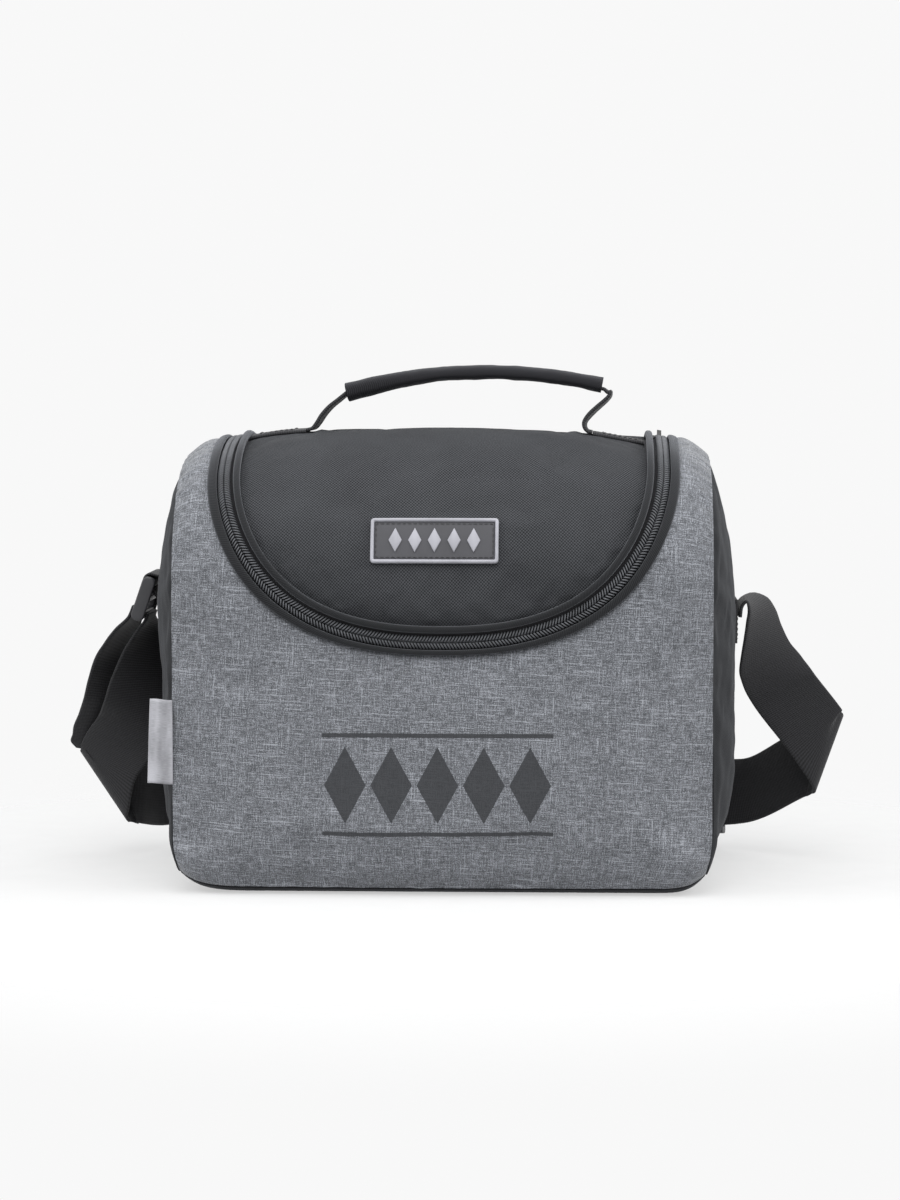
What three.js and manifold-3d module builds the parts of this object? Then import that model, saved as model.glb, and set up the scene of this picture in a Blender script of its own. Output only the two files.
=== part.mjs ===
// Insulated lunch bag with a zipped lid, a carry handle and a webbing shoulder strap.
// Millimetres, +Z up, the front faces -Y, the origin is the middle of the base on the floor.
import * as THREE from 'three';
import Module from 'manifold-3d';
import { mergeVertices } from 'three/addons/utils/BufferGeometryUtils.js';

const wasm = await Module();
wasm.setup();

// Body outline, seen from the side
const BODY_WIDTH = 240;
const BODY_DEPTH = 150;
const FRONT_STRAIGHT_TOP = 133;
const CORNER_RADIUS = 18;
const SHOULDER_RADIUS = 65;
const SHOULDER_TURN = 75;
const CROWN_RADIUS = 150;
const CROWN_TURN = 23;
// Padding swell of the panels, and how far the panel edges roll in towards the side seams
const PANEL_SWELL = 4;
const SWELL_RISE = 48;
const EDGE_DROP = 8;
const EDGE_ROLL_WIDTH = 32;
const EDGE_ROUNDNESS = 2.5;
const GUSSET_BULGE = 11.4;
const BULGE_ROUNDNESS = 2.6;
const SEAM_GAP = 0.4;
const BASE_SEAM_HEIGHT = 2.2;
const FOOT_NARROWING = 4;
const FOOT_HEIGHT = 24;

// Layers of the wall
const FABRIC = 1.2;
const FOAM = 4;
const LINER = 0.6;
const LAYER_GAP = 1.2;
// The foam and the lining stop short of the zip, of the lid's rear edge and of the side outline
const FOAM_SHORT_OF_ZIP = 6;
const LINER_SHORT_OF_ZIP = 3;
const SHORT_OF_HINGE = 4;
const FOAM_SIDE_GAP = 0.6;
const FOAM_RIM_GAP = 0.8;
const LINER_RIM_GAP = 1.6;

// Zip that frames the lid
const ZIP_HALF_WIDTH = 98;
const ZIP_DROP = 88;
const ZIP_ROUNDNESS = 2.4;
const ZIP_START_BACK = 81.4;
const HINGE_PAST_CROWN = 4.4;
const CHAIN_WIDTH = 5.2;
const CHAIN_SPLIT = 0.8;
const CHAIN_HEIGHT = 2.4;
const CHAIN_OVER_TAPE = 0.3;
const COIL_GAP = 1;
const TAPE_WIDTH = 8;
const TAPE = 0.7;
const TAPE_GAP = 1.3;
const RIB_WIDTH = 4;
const RIB_HEIGHT = 1.9;
const RIB_LIFT = 0.5;
const RIB_FLANK = 0.5;
const RIB_TO_PANEL = 0.4;
const PIPING_EXTRA = 0.4;
const PANEL_EDGE_TO_CHAIN = 0.4;
const BINDING = 0.5;
const BINDING_WIDTH = 6;
const CHAIN_TAIL = 26;
const TAIL_LIFT = 0.3;
const TAIL_HEIGHT = 1.6;

// Badge on the front of the lid
const BADGE_WIDTH = 57;
const BADGE_HEIGHT = 20.5;
const BADGE_RIM = 1.6;
const BADGE_THICK = 1.2;
const BADGE_SEAT = 0.4;
const BADGE_RIM_RISE = 0.5;
const BADGE_FIELD_GAP = 0.3;
const BADGE_CORNER = 1.5;
const BADGE_INNER_CORNER = 0.6;
const BADGE_X = -4;
const BADGE_UP_FROM_STRAIGHT = 23.2;

// Carry handle
const HANDLE_Y = 12;
const HANDLE_WIDTH = 25;
const HANDLE_LEFT = -62;
const HANDLE_RIGHT = 63;
const HANDLE_RISE = 26;
const HANDLE_STRIP = 26;
const GRIP_LEFT = -47;
const GRIP_RIGHT = 71;
const GRIP_WIDTH = 29;
const GRIP_THICK = 7;
const WEB = 1.6;
const WEB_SEAT = 0.4;
const LEFT_STRIP_GAP = 2.4;
const RIGHT_STRIP_GAP = 3;
const GRIP_END_DROP = 9;
const GRIP_END_LIFT = 2.2;
const GRIP_TILT = 1.2;
const GRIP_ARCH = 7;
const GRIP_SHORT = 1.5;
const WEB_PAST_GRIP = 0.2;
const LEG_GAP = 0.6;
const SLEEVE_SLOT_WIDER = 2.6;
const SLEEVE_SLOT_HIGHER = 1.6;
const SLEEVE_WIDER = 1;
const SLEEVE_TAPER = 0.12;

// Shoulder strap and its fittings
const STRAP_WIDTH = 32;
const STRAP_Y = 15;
const STRAP_Z = 126;
const BACK_RUN_Z = 23;
const BACK_RUN_OUT = 10;
const PATCH_HEIGHT = 20;
const PATCH_OVER_PIVOT = 1;
const PATCH_LIFT_LEFT = 13;
const PATCH_GAP = 0.4;
const LOCK_LENGTH = 20;
const LOCK_THICK = 4.6;
const LOCK_WALL = 4;
const LOCK_OUT = 9.1;
const LOCK_UP = 1;
const LOCK_TILT = 19;
const TAB_REACH = 4.3;
const TAB_WEB = 1.2;
const TAB_GAP = 0.6;
const KEEPER_SHARE = 0.46;
const KEEPER_LENGTH = 14;
const KEEPER_WALL = 1.8;
const KEEPER_ROOM = 2.4;
const SLOT_ROOM = 1;
const KEEPER_SLOT_ROOM = 1.2;
const BAR_THINNER = 1;
const TAB_NARROWER = 1;
const TAB_TOP_DROP = 1;
const TAB_FOOT_DROP = 4;

// Zip slider
const SLIDER_LENGTH = 11;
const SLIDER_WALL = 1;
const SLIDER_ROOM = 0.5;
const SLIDER_LIFT = 0.7;
const BRIDGE_INSET = 1.5;
const BRIDGE_LEG = 1.4;
const BRIDGE_SUNK = 0.7;
const PULL_ROOM = 0.5;
const SLIDER_PAST_HINGE = 4;
const PULL_LENGTH = 20;
const PULL_WIDTH = 6;
const PULL_THICK = 1.2;
const PULL_SLOT = 4;
const BRIDGE_WIDTH = 2;
const BRIDGE_RISE = 2.4;

// Label sewn into the left seam
const LABEL_HEIGHT = 38;
const LABEL_LOW = 50.5;
const LABEL_REACH = 10.7;
const LABEL_THICK = 0.8;
const LABEL_TUCK = 1.2;

const HALF_WIDTH = BODY_WIDTH / 2;
const SIDE_X = HALF_WIDTH + GUSSET_BULGE;
const BACK_Y = BODY_DEPTH / 2 + PANEL_SWELL;
const LOCK_X = -SIDE_X - LOCK_OUT;
const RAD = Math.PI / 180;

const colours = {
  melange: [0x8a8d92, 0.9, 0],
  twill: [0x3f3f42, 0.9, 0],
  foam: [0xe6e6e2, 0.95, 0],
  foil: [0xb9bec4, 0.45, 0.3],
  webbing: [0x17191c, 0.85, 0],
  coil: [0x1b1c1f, 0.5, 0],
  plastic: [0x2a2b2e, 0.5, 0],
  badge: [0x55585c, 0.6, 0],
  badgeRim: [0xb0b8c0, 0.45, 0.2],
  metal: [0x4a4c50, 0.4, 0.8],
  satin: [0xb4b8c0, 0.6, 0],
};

const bag = new THREE.Group();

function addPart(name, colour, geometry) {
  const [color, roughness, metalness] = colours[colour];
  const material = new THREE.MeshStandardMaterial({ color, roughness, metalness });
  const mesh = new THREE.Mesh(geometry, material);
  mesh.name = name;
  bag.add(mesh);
  return mesh;
}

// The side outline is a walk of straight runs and of arcs with a radius and a turn in degrees.
const flatHalf = BODY_DEPTH / 2 - CORNER_RADIUS;
const rise = FRONT_STRAIGHT_TOP - CORNER_RADIUS;
const shoulderTilt = SHOULDER_TURN * RAD;
const crownTilt = (SHOULDER_TURN + CROWN_TURN) * RAD;
const crownStartY = -BODY_DEPTH / 2 + SHOULDER_RADIUS * (1 - Math.cos(shoulderTilt));
const crownEndY = crownStartY + CROWN_RADIUS * (Math.cos(shoulderTilt) - Math.cos(crownTilt));
const crownStartZ = FRONT_STRAIGHT_TOP + SHOULDER_RADIUS * Math.sin(shoulderTilt);
const crownEndZ = crownStartZ + CROWN_RADIUS * (Math.sin(crownTilt) - Math.sin(shoulderTilt));
const backRadius = (BODY_DEPTH / 2 - crownEndY) / (1 + Math.cos(crownTilt));
const backRise = crownEndZ - backRadius * Math.sin(crownTilt) - CORNER_RADIUS;

const outline = [
  { run: flatHalf },
  { radius: CORNER_RADIUS, turn: 90 },
  { run: rise },
  { radius: SHOULDER_RADIUS, turn: SHOULDER_TURN },
  { radius: CROWN_RADIUS, turn: CROWN_TURN },
  { radius: backRadius, turn: 180 - SHOULDER_TURN - CROWN_TURN },
  { run: backRise },
  { radius: CORNER_RADIUS, turn: 90 },
  { run: flatHalf },
];

function placeOutline() {
  let s = 0;
  let y = 0;
  let z = 0;
  let heading = 0;
  for (const leg of outline) {
    leg.start = s;
    leg.y = y;
    leg.z = z;
    leg.heading = heading;
    if (leg.run !== undefined) {
      y -= leg.run * Math.cos(heading);
      z += leg.run * Math.sin(heading);
      s += leg.run;
    } else {
      const next = heading + leg.turn * RAD;
      y += leg.radius * (Math.sin(heading) - Math.sin(next));
      z += leg.radius * (Math.cos(heading) - Math.cos(next));
      s += leg.radius * (next - heading);
      heading = next;
    }
    leg.end = s;
  }
  return s;
}
const girth = placeOutline();

// Point and outward normal of the side outline at the distance s, walked forward from the base's middle
function outlineAt(distance) {
  const s = (distance + girth) % girth;
  const leg = outline.find((one) => s <= one.end) ?? outline[outline.length - 1];
  const along = s - leg.start;
  if (leg.run !== undefined) {
    const ny = -Math.sin(leg.heading);
    const nz = -Math.cos(leg.heading);
    return { y: leg.y + along * nz, z: leg.z - along * ny, ny, nz };
  }
  const angle = leg.heading + along / leg.radius;
  const y = leg.y + leg.radius * (Math.sin(leg.heading) - Math.sin(angle));
  const z = leg.z + leg.radius * (Math.cos(leg.heading) - Math.cos(angle));
  return { y, z, ny: -Math.sin(angle), nz: -Math.cos(angle) };
}

function smooth(t) {
  const k = Math.min(1, Math.max(0, t));
  return k * k * (3 - 2 * k);
}

// How far the padded panel stands off the plain outline at x across and s round
function swell(x, s) {
  const wrapped = (s + girth) % girth;
  const fromBase = Math.min(wrapped, girth - wrapped);
  const puff = PANEL_SWELL * smooth((fromBase - flatHalf) / SWELL_RISE);
  const across = Math.min(1, Math.abs(x) / HALF_WIDTH);
  const roll = Math.max(0, Math.abs(x) - HALF_WIDTH + EDGE_ROLL_WIDTH) / EDGE_ROLL_WIDTH;
  return puff * (1 - across * across) - EDGE_DROP * Math.pow(roll, EDGE_ROUNDNESS);
}

// Point of the body, drawn in a little across near the floor
function bodyPoint(x, y, z) {
  const low = 1 - smooth(z / FOOT_HEIGHT);
  return new THREE.Vector3(x * (1 - FOOT_NARROWING / HALF_WIDTH * low), y, z);
}

function wall(x, s, offset) {
  const p = outlineAt(s);
  const out = swell(x, s) + offset;
  return bodyPoint(x, p.y + p.ny * out, p.z + p.nz * out);
}

const frontSeam = flatHalf + CORNER_RADIUS * Math.acos(1 - BASE_SEAM_HEIGHT / CORNER_RADIUS);
const backSeam = girth - frontSeam;
const crownEnd = outline[4].end;
const hingeLine = crownEnd + HINGE_PAST_CROWN;
const zipStart = hingeLine - ZIP_START_BACK;

// Closed body from a list of points and triangles, turned so that its faces point out
function closedBody(points, faces) {
  let volume = 0;
  for (const [a, b, c] of faces) {
    volume += points[a].dot(points[b].clone().cross(points[c]));
  }
  const index = faces.flatMap(([a, b, c]) => (volume > 0 ? [a, b, c] : [a, c, b]));
  const geometry = new THREE.BufferGeometry();
  const values = points.flatMap((p) => [p.x, p.y, p.z]);
  geometry.setAttribute('position', new THREE.Float32BufferAttribute(values, 3));
  geometry.setIndex(index);
  return geometry;
}

function quad(faces, a, b, c, d) {
  faces.push([a, b, c], [a, c, d]);
}

// Shell between two skins of rows by columns points; round joins the last column to the first
function shell(rows, columns, outer, inner, round = false) {
  const points = [];
  const faces = [];
  const width = round ? columns : columns + 1;
  for (const skin of [outer, inner]) {
    for (let i = 0; i <= rows; i += 1) {
      for (let j = 0; j < width; j += 1) {
        points.push(skin(i, j));
      }
    }
  }
  const half = (rows + 1) * width;
  const at = (i, j) => i * width + (j % width);
  for (let i = 0; i < rows; i += 1) {
    for (let j = 0; j < columns; j += 1) {
      quad(faces, at(i, j), at(i + 1, j), at(i + 1, j + 1), at(i, j + 1));
      quad(faces, half + at(i, j), half + at(i, j + 1), half + at(i + 1, j + 1), half + at(i + 1, j));
    }
  }
  for (let j = 0; j < columns; j += 1) {
    quad(faces, at(0, j), at(0, j + 1), half + at(0, j + 1), half + at(0, j));
    quad(faces, at(rows, j + 1), at(rows, j), half + at(rows, j), half + at(rows, j + 1));
  }
  if (!round) {
    for (let i = 0; i < rows; i += 1) {
      quad(faces, at(i + 1, 0), at(i, 0), half + at(i, 0), half + at(i + 1, 0));
      quad(faces, at(i, columns), at(i + 1, columns), half + at(i + 1, columns), half + at(i, columns));
    }
  }
  return closedBody(points, faces);
}

// Domed shell: rings round a middle point, joined at the outer ring
function dome(rings, around, outer, inner) {
  const points = [];
  const faces = [];
  const size = rings * around + 1;
  for (const skin of [outer, inner]) {
    points.push(skin(0, 0));
    for (let i = 1; i <= rings; i += 1) {
      for (let j = 0; j < around; j += 1) {
        points.push(skin(i / rings, j));
      }
    }
  }
  const at = (i, j) => 1 + (i - 1) * around + (j % around);
  for (let j = 0; j < around; j += 1) {
    faces.push([0, at(1, j), at(1, j + 1)]);
    faces.push([size, size + at(1, j + 1), size + at(1, j)]);
    for (let i = 1; i < rings; i += 1) {
      quad(faces, at(i, j), at(i + 1, j), at(i + 1, j + 1), at(i, j + 1));
      quad(faces, size + at(i, j), size + at(i, j + 1), size + at(i + 1, j + 1), size + at(i + 1, j));
    }
    quad(faces, at(rings, j), size + at(rings, j), size + at(rings, j + 1), at(rings, j + 1));
  }
  return closedBody(points, faces);
}

// Solid swept through a row of sections; flat is the section's 2-D outline for its end caps
function sweep(sections, flat) {
  const count = flat.length;
  const points = sections.flat();
  const faces = [];
  for (let i = 0; i + 1 < sections.length; i += 1) {
    for (let j = 0; j < count; j += 1) {
      const k = (j + 1) % count;
      quad(faces, i * count + j, i * count + k, (i + 1) * count + k, (i + 1) * count + j);
    }
  }
  const contour = flat.map(([a, b]) => new THREE.Vector2(a, b));
  const turn = (loop) => Math.sign(THREE.ShapeUtils.area(loop));
  const last = (sections.length - 1) * count;
  for (const [a, b, c] of THREE.ShapeUtils.triangulateShape(contour, [])) {
    const forward = turn([contour[a], contour[b], contour[c]]) === turn(contour);
    const [p, q, r] = forward ? [a, b, c] : [a, c, b];
    faces.push([p, r, q]);
    faces.push([last + p, last + q, last + r]);
  }
  return closedBody(points, faces);
}

function box(across, x0, x1) {
  return [[x0, across[0]], [x1, across[0]], [x1, across[1]], [x0, across[1]]];
}

// Zip line in (x, s): up the left leg's end, round the front and back up the right leg
const LEG_STEPS = 7;
const BEND_STEPS = 12;
function zipLine(away, tail) {
  const stations = [];
  const raw = [];
  const start = hingeLine + tail;
  for (let i = 0; i < LEG_STEPS; i += 1) {
    raw.push([-ZIP_HALF_WIDTH, start + (zipStart - start) * i / LEG_STEPS]);
  }
  for (let i = 0; i <= 2 * BEND_STEPS; i += 1) {
    const angle = Math.PI * i / (2 * BEND_STEPS);
    const c = Math.cos(angle);
    const x = -ZIP_HALF_WIDTH * Math.sign(c) * Math.pow(Math.abs(c), 2 / ZIP_ROUNDNESS);
    raw.push([x, zipStart - ZIP_DROP * Math.pow(Math.abs(Math.sin(angle)), 2 / ZIP_ROUNDNESS)]);
  }
  for (let i = 1; i <= LEG_STEPS; i += 1) {
    raw.push([ZIP_HALF_WIDTH, zipStart + (start - zipStart) * i / LEG_STEPS]);
  }
  for (let i = 0; i < raw.length; i += 1) {
    const before = raw[Math.max(0, i - 1)];
    const after = raw[Math.min(raw.length - 1, i + 1)];
    const dx = after[0] - before[0];
    const ds = after[1] - before[1];
    const length = Math.hypot(dx, ds);
    stations.push([raw[i][0] + away * ds / length, raw[i][1] - away * dx / length]);
  }
  return stations;
}
const ZIP_STEPS = 2 * LEG_STEPS + 2 * BEND_STEPS;

// Band along the zip: each section corner is [distance outwards from the zip line, offset from the wall]
function zipBand(section, tail) {
  const lines = section.map(([away]) => zipLine(away, tail));
  const sections = [];
  for (let i = 0; i <= ZIP_STEPS; i += 1) {
    sections.push(section.map(([, offset], k) => wall(lines[k][i][0], lines[k][i][1], offset)));
  }
  return sweep(sections, section);
}

// Panel in a ruled grid between the zip line and the seams round the front; the steps down each side
// are close together over the shoulder and wide on the straight front
const SHOULDER_STEPS = 10;
const STRAIGHT_STEPS = 2;
const CORNER_STEPS = 3;
const SEAM_CROWDING = 2;
function sideSteps(top, low) {
  const marks = [];
  const [shoulder, corner] = [outline[2].end, outline[2].start];
  for (const [from, to, count] of [
    [top, shoulder, SHOULDER_STEPS], [shoulder, corner, STRAIGHT_STEPS], [corner, low, CORNER_STEPS],
  ]) {
    for (let i = 0; i < count; i += 1) {
      marks.push(from + (to - from) * i / count);
    }
  }
  marks.push(low);
  return marks;
}

function frontLayer(away, sideX, lowS, depths, rows, topGap) {
  const inside = zipLine(away, -topGap);
  const marks = sideSteps(hingeLine - topGap, lowS);
  const down = marks.length - 1;
  const bottomSteps = ZIP_STEPS - 2 * down;
  const outside = [];
  for (let i = 0; i <= ZIP_STEPS; i += 1) {
    const fromEnd = Math.min(i, ZIP_STEPS - i);
    const sign = i < ZIP_STEPS / 2 ? -1 : 1;
    if (fromEnd <= down) {
      outside.push([sign * sideX, marks[fromEnd]]);
    } else {
      outside.push([-sideX * Math.cos(Math.PI * (i - down) / bottomSteps), lowS]);
    }
  }
  const skin = (offset) => (i, j) => {
    const t = 1 - Math.pow(1 - i / rows, SEAM_CROWDING);
    const x = inside[j][0] + (outside[j][0] - inside[j][0]) * t;
    const s = inside[j][1] + (outside[j][1] - inside[j][1]) * t;
    return wall(x, s, offset);
  };
  return shell(rows, ZIP_STEPS, skin(depths[0]), skin(depths[1]));
}

// Plain band of wall between two girth distances
function beltLayer(sideX, from, to, depths, rows, columns) {
  const skin = (offset) => (i, j) => {
    const x = sideX * Math.sin(Math.PI / 2 * (2 * j / columns - 1));
    return wall(x, from + (to - from) * i / rows, offset);
  };
  return shell(rows, columns, skin(depths[0]), skin(depths[1]));
}

// Lid layer inside the zip line, in strips that run from the zip's front to the hinge line
function lidLayer(inset, backGap, depths, rows, columns) {
  const reach = ZIP_HALF_WIDTH - inset;
  const drop = ZIP_DROP - inset;
  const skin = (offset) => (i, j) => {
    const across = Math.sin(Math.PI / 2 * (2 * j / columns - 1));
    const round = Math.pow(Math.max(0, 1 - Math.pow(Math.abs(across), ZIP_ROUNDNESS)), 1 / ZIP_ROUNDNESS);
    const low = zipStart - drop * round;
    return wall(reach * across, low + (hingeLine - backGap - low) * i / rows, offset);
  };
  return shell(rows, columns, skin(depths[0]), skin(depths[1]));
}

// Domed layer of a side, inset from the side outline
const SIDE_STEPS = 36;
const SIDE_MIDDLE_Z = 98;
function sideLayer(sign, rimInset, from, to, rings) {
  const skin = (depth) => (r, j) => {
    const p = outlineAt(girth * (j + 0.5) / SIDE_STEPS);
    const y = (p.y - p.ny * rimInset) * r;
    const z = SIDE_MIDDLE_Z + (p.z - p.nz * rimInset - SIDE_MIDDLE_Z) * r;
    const x = HALF_WIDTH + GUSSET_BULGE * (1 - Math.pow(r, BULGE_ROUNDNESS)) - depth;
    return bodyPoint(sign * x, y, z);
  };
  return dome(rings, SIDE_STEPS, skin(from), skin(to));
}

const foamTop = FABRIC + LAYER_GAP;
const foamLow = foamTop + FOAM;
const linerTop = foamLow + LAYER_GAP;
const linerLow = linerTop + LINER;
const fabricDepths = [0, -FABRIC];
const foamDepths = [-foamTop, -foamLow];
const linerDepths = [-linerTop, -linerLow];
const sideRim = EDGE_DROP + foamTop;
const chainHalf = CHAIN_WIDTH / 2;
const panelEdge = chainHalf + PANEL_EDGE_TO_CHAIN;
const foamX = HALF_WIDTH - foamLow - FOAM_SIDE_GAP;
const linerX = HALF_WIDTH - linerLow - SEAM_GAP;
const fabricX = HALF_WIDTH - FABRIC - SEAM_GAP;

function makeBody() {
  addPart('front_panel', 'melange',
    frontLayer(panelEdge, fabricX, frontSeam + SEAM_GAP, fabricDepths, 9, SEAM_GAP));
  addPart('back_panel', 'twill',
    beltLayer(fabricX, hingeLine + SEAM_GAP, backSeam - SEAM_GAP, fabricDepths, 14, 12));
  addPart('base_panel', 'twill',
    beltLayer(fabricX, -frontSeam + SEAM_GAP, frontSeam - SEAM_GAP, fabricDepths, 14, 10));
  addPart('front_foam', 'foam',
    frontLayer(panelEdge + FOAM_SHORT_OF_ZIP, foamX, frontSeam + SEAM_GAP, foamDepths, 9, SHORT_OF_HINGE));
  addPart('back_foam', 'foam',
    beltLayer(foamX, hingeLine + SHORT_OF_HINGE, backSeam - SEAM_GAP, foamDepths, 14, 8));
  addPart('base_foam', 'foam',
    beltLayer(foamX, -frontSeam + SEAM_GAP, frontSeam - SEAM_GAP, foamDepths, 14, 6));
  addPart('front_liner', 'foil',
    frontLayer(panelEdge + LINER_SHORT_OF_ZIP, linerX, frontSeam + SEAM_GAP, linerDepths, 9, SHORT_OF_HINGE));
  addPart('back_liner', 'foil',
    beltLayer(linerX, hingeLine + SHORT_OF_HINGE, backSeam - SEAM_GAP, linerDepths, 14, 8));
  addPart('base_liner', 'foil',
    beltLayer(linerX, -frontSeam + SEAM_GAP, frontSeam - SEAM_GAP, linerDepths, 14, 6));
  for (const [side, sign] of [['left', -1], ['right', 1]]) {
    addPart(`${side}_gusset`, 'twill', sideLayer(sign, EDGE_DROP, 0, FABRIC, 4));
    addPart(`${side}_foam`, 'foam', sideLayer(sign, sideRim + FOAM_RIM_GAP, foamTop, foamLow, 3));
    addPart(`${side}_liner`, 'foil', sideLayer(sign, sideRim + LINER_RIM_GAP, linerTop, linerLow, 3));
  }
}

// Half-round rib section that stands on the wall
function ribSection(from, width, height) {
  const section = [];
  for (let i = 0; i <= 4; i += 1) {
    const angle = Math.PI * i / 4;
    const offset = RIB_LIFT + RIB_FLANK + (height - RIB_FLANK) * Math.sin(angle);
    section.push([from + width / 2 * (1 - Math.cos(angle)), offset]);
  }
  section.push([from + width, RIB_LIFT]);
  section.push([from, RIB_LIFT]);
  return section;
}

function makeZip() {
  const chainInner = CHAIN_SPLIT / 2;
  const tapeTop = -FABRIC - TAPE_GAP;
  const chainFoot = tapeTop + CHAIN_OVER_TAPE;
  const chain = (a, b) => box([chainFoot, chainFoot + CHAIN_HEIGHT], a, b);
  const tape = (a, b) => box([tapeTop - TAPE, tapeTop], a, b);
  const ribFrom = panelEdge + RIB_TO_PANEL;
  const bindingTop = -linerLow - LAYER_GAP;
  addPart('outer_zip_tape', 'twill', zipBand(tape(chainInner, TAPE_WIDTH), 0));
  addPart('outer_zip_coil', 'coil', zipBand(chain(chainInner, chainHalf), 0));
  addPart('front_zip_rib', 'twill', zipBand(ribSection(ribFrom, RIB_WIDTH, RIB_HEIGHT), 0));
  addPart('mouth_binding', 'twill',
    zipBand(box([bindingTop - BINDING, bindingTop], panelEdge, panelEdge + BINDING_WIDTH), -SHORT_OF_HINGE));
  addPart('inner_zip_tape', 'twill', zipBand(tape(-TAPE_WIDTH, -chainInner), -COIL_GAP));
  addPart('inner_zip_coil', 'coil', zipBand(chain(-chainHalf, -chainInner), -COIL_GAP));
  addPart('lid_piping', 'twill',
    zipBand(ribSection(-ribFrom - RIB_WIDTH, RIB_WIDTH, RIB_HEIGHT + PIPING_EXTRA), -COIL_GAP));
  for (const [side, sign] of [['left', -1], ['right', 1]]) {
    const line = sign * ZIP_HALF_WIDTH;
    const flat = box([TAIL_LIFT, TAIL_HEIGHT], -chainHalf, chainHalf);
    const sections = [];
    for (let i = 0; i <= 6; i += 1) {
      const s = hingeLine + COIL_GAP + (CHAIN_TAIL - COIL_GAP) * i / 6;
      sections.push(flat.map(([across, offset]) => wall(line + across, s, offset)));
    }
    addPart(`zip_tail_${side}`, 'coil', sweep(sections, flat));
  }
}

function makeLid() {
  addPart('lid_shell', 'twill', lidLayer(panelEdge, SEAM_GAP, fabricDepths, 14, 16));
  addPart('lid_foam', 'foam', lidLayer(panelEdge + FOAM_SHORT_OF_ZIP, SHORT_OF_HINGE, foamDepths, 14, 14));
  addPart('lid_liner', 'foil', lidLayer(panelEdge + LINER_SHORT_OF_ZIP, SHORT_OF_HINGE, linerDepths, 14, 14));
  makeBadge();
}

// Rounded rectangle of the badge, walked round in (x, s)
function badgeLoop(width, height, corner, steps) {
  const loop = [];
  const centreS = outline[3].start + BADGE_UP_FROM_STRAIGHT;
  for (let i = 0; i < 4; i += 1) {
    const cx = (i === 0 || i === 3 ? 1 : -1) * (width / 2 - corner);
    const cs = (i < 2 ? 1 : -1) * (height / 2 - corner);
    const edgeSteps = i % 2 === 0 ? 7 : 3;
    for (let k = 0; k <= steps; k += 1) {
      const angle = Math.PI / 2 * (i + k / steps);
      loop.push([BADGE_X + cx + corner * Math.cos(angle), centreS + cs + corner * Math.sin(angle)]);
    }
    const [x0, s0] = loop[loop.length - 1];
    const next = Math.PI / 2 * (i + 1);
    const nx = BADGE_X + (i === 0 || i === 1 ? -1 : 1) * (width / 2 - corner);
    const ns = centreS + (i === 0 || i === 3 ? 1 : -1) * (height / 2 - corner);
    const x1 = nx + corner * Math.cos(next);
    const s1 = ns + corner * Math.sin(next);
    for (let k = 1; k < edgeSteps; k += 1) {
      loop.push([x0 + (x1 - x0) * k / edgeSteps, s0 + (s1 - s0) * k / edgeSteps]);
    }
  }
  return loop;
}

function makeBadge() {
  const outer = badgeLoop(BADGE_WIDTH, BADGE_HEIGHT, BADGE_CORNER, 2);
  const rimInner = badgeLoop(BADGE_WIDTH - 2 * BADGE_RIM, BADGE_HEIGHT - 2 * BADGE_RIM,
    BADGE_INNER_CORNER, 2);
  const plateTop = BADGE_SEAT + BADGE_THICK;
  const rimTop = plateTop + BADGE_RIM_RISE;
  const rim = (loop) => (i, j) => wall(loop[j][0], loop[j][1], i === 0 ? BADGE_SEAT : rimTop);
  addPart('badge_border', 'badgeRim', shell(1, outer.length, rim(outer), rim(rimInner), true));
  const halfW = BADGE_WIDTH / 2 - BADGE_RIM - BADGE_FIELD_GAP;
  const halfH = BADGE_HEIGHT / 2 - BADGE_RIM - BADGE_FIELD_GAP;
  const centreS = outline[3].start + BADGE_UP_FROM_STRAIGHT;
  const skin = (offset) => (i, j) => {
    return wall(BADGE_X + halfW * (j / 4 - 1), centreS + halfH * (i / 2 - 1), offset);
  };
  addPart('badge_plate', 'badge', shell(4, 8, skin(plateTop), skin(BADGE_SEAT)));
}

function centreLine(stations) {
  return new THREE.CatmullRomCurve3(stations.map(([p]) => new THREE.Vector3(...p)), false, 'centripetal');
}

// Frame at the share t of a smooth route; each station is [centre, line across the strip].
// Where that line is aslant to the route, side is longer than one, so that the strip keeps its width.
function routeFrame(stations) {
  const route = centreLine(stations);
  const widths = new THREE.CatmullRomCurve3(stations.map(([, w]) => new THREE.Vector3(...w)));
  return (t) => {
    const centre = route.getPoint(t);
    const along = route.getTangent(t);
    const side = widths.getPoint(t).normalize();
    const up = along.clone().cross(side);
    const straightness = up.length();
    side.divideScalar(straightness);
    return { centre, along, side, up: up.normalize() };
  };
}

// Flat strip of webbing along a route
function ribbon(stations, width, thick, steps) {
  const frameAt = routeFrame(stations);
  const flat = box([-thick / 2, thick / 2], -width / 2, width / 2);
  const sections = [];
  for (let i = 0; i <= steps; i += 1) {
    const { centre, side, up } = frameAt(i / steps);
    sections.push(flat.map(([a, b]) => centre.clone().addScaledVector(side, a).addScaledVector(up, b)));
  }
  return sweep(sections, flat);
}

// Highest point of the lid's skin at x across
function lidTopZ(x) {
  let s = outline[4].start;
  let best = -Infinity;
  for (; s < outline[4].end; s += 1) {
    best = Math.max(best, wall(x, s, 0).z);
  }
  return best;
}

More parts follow.
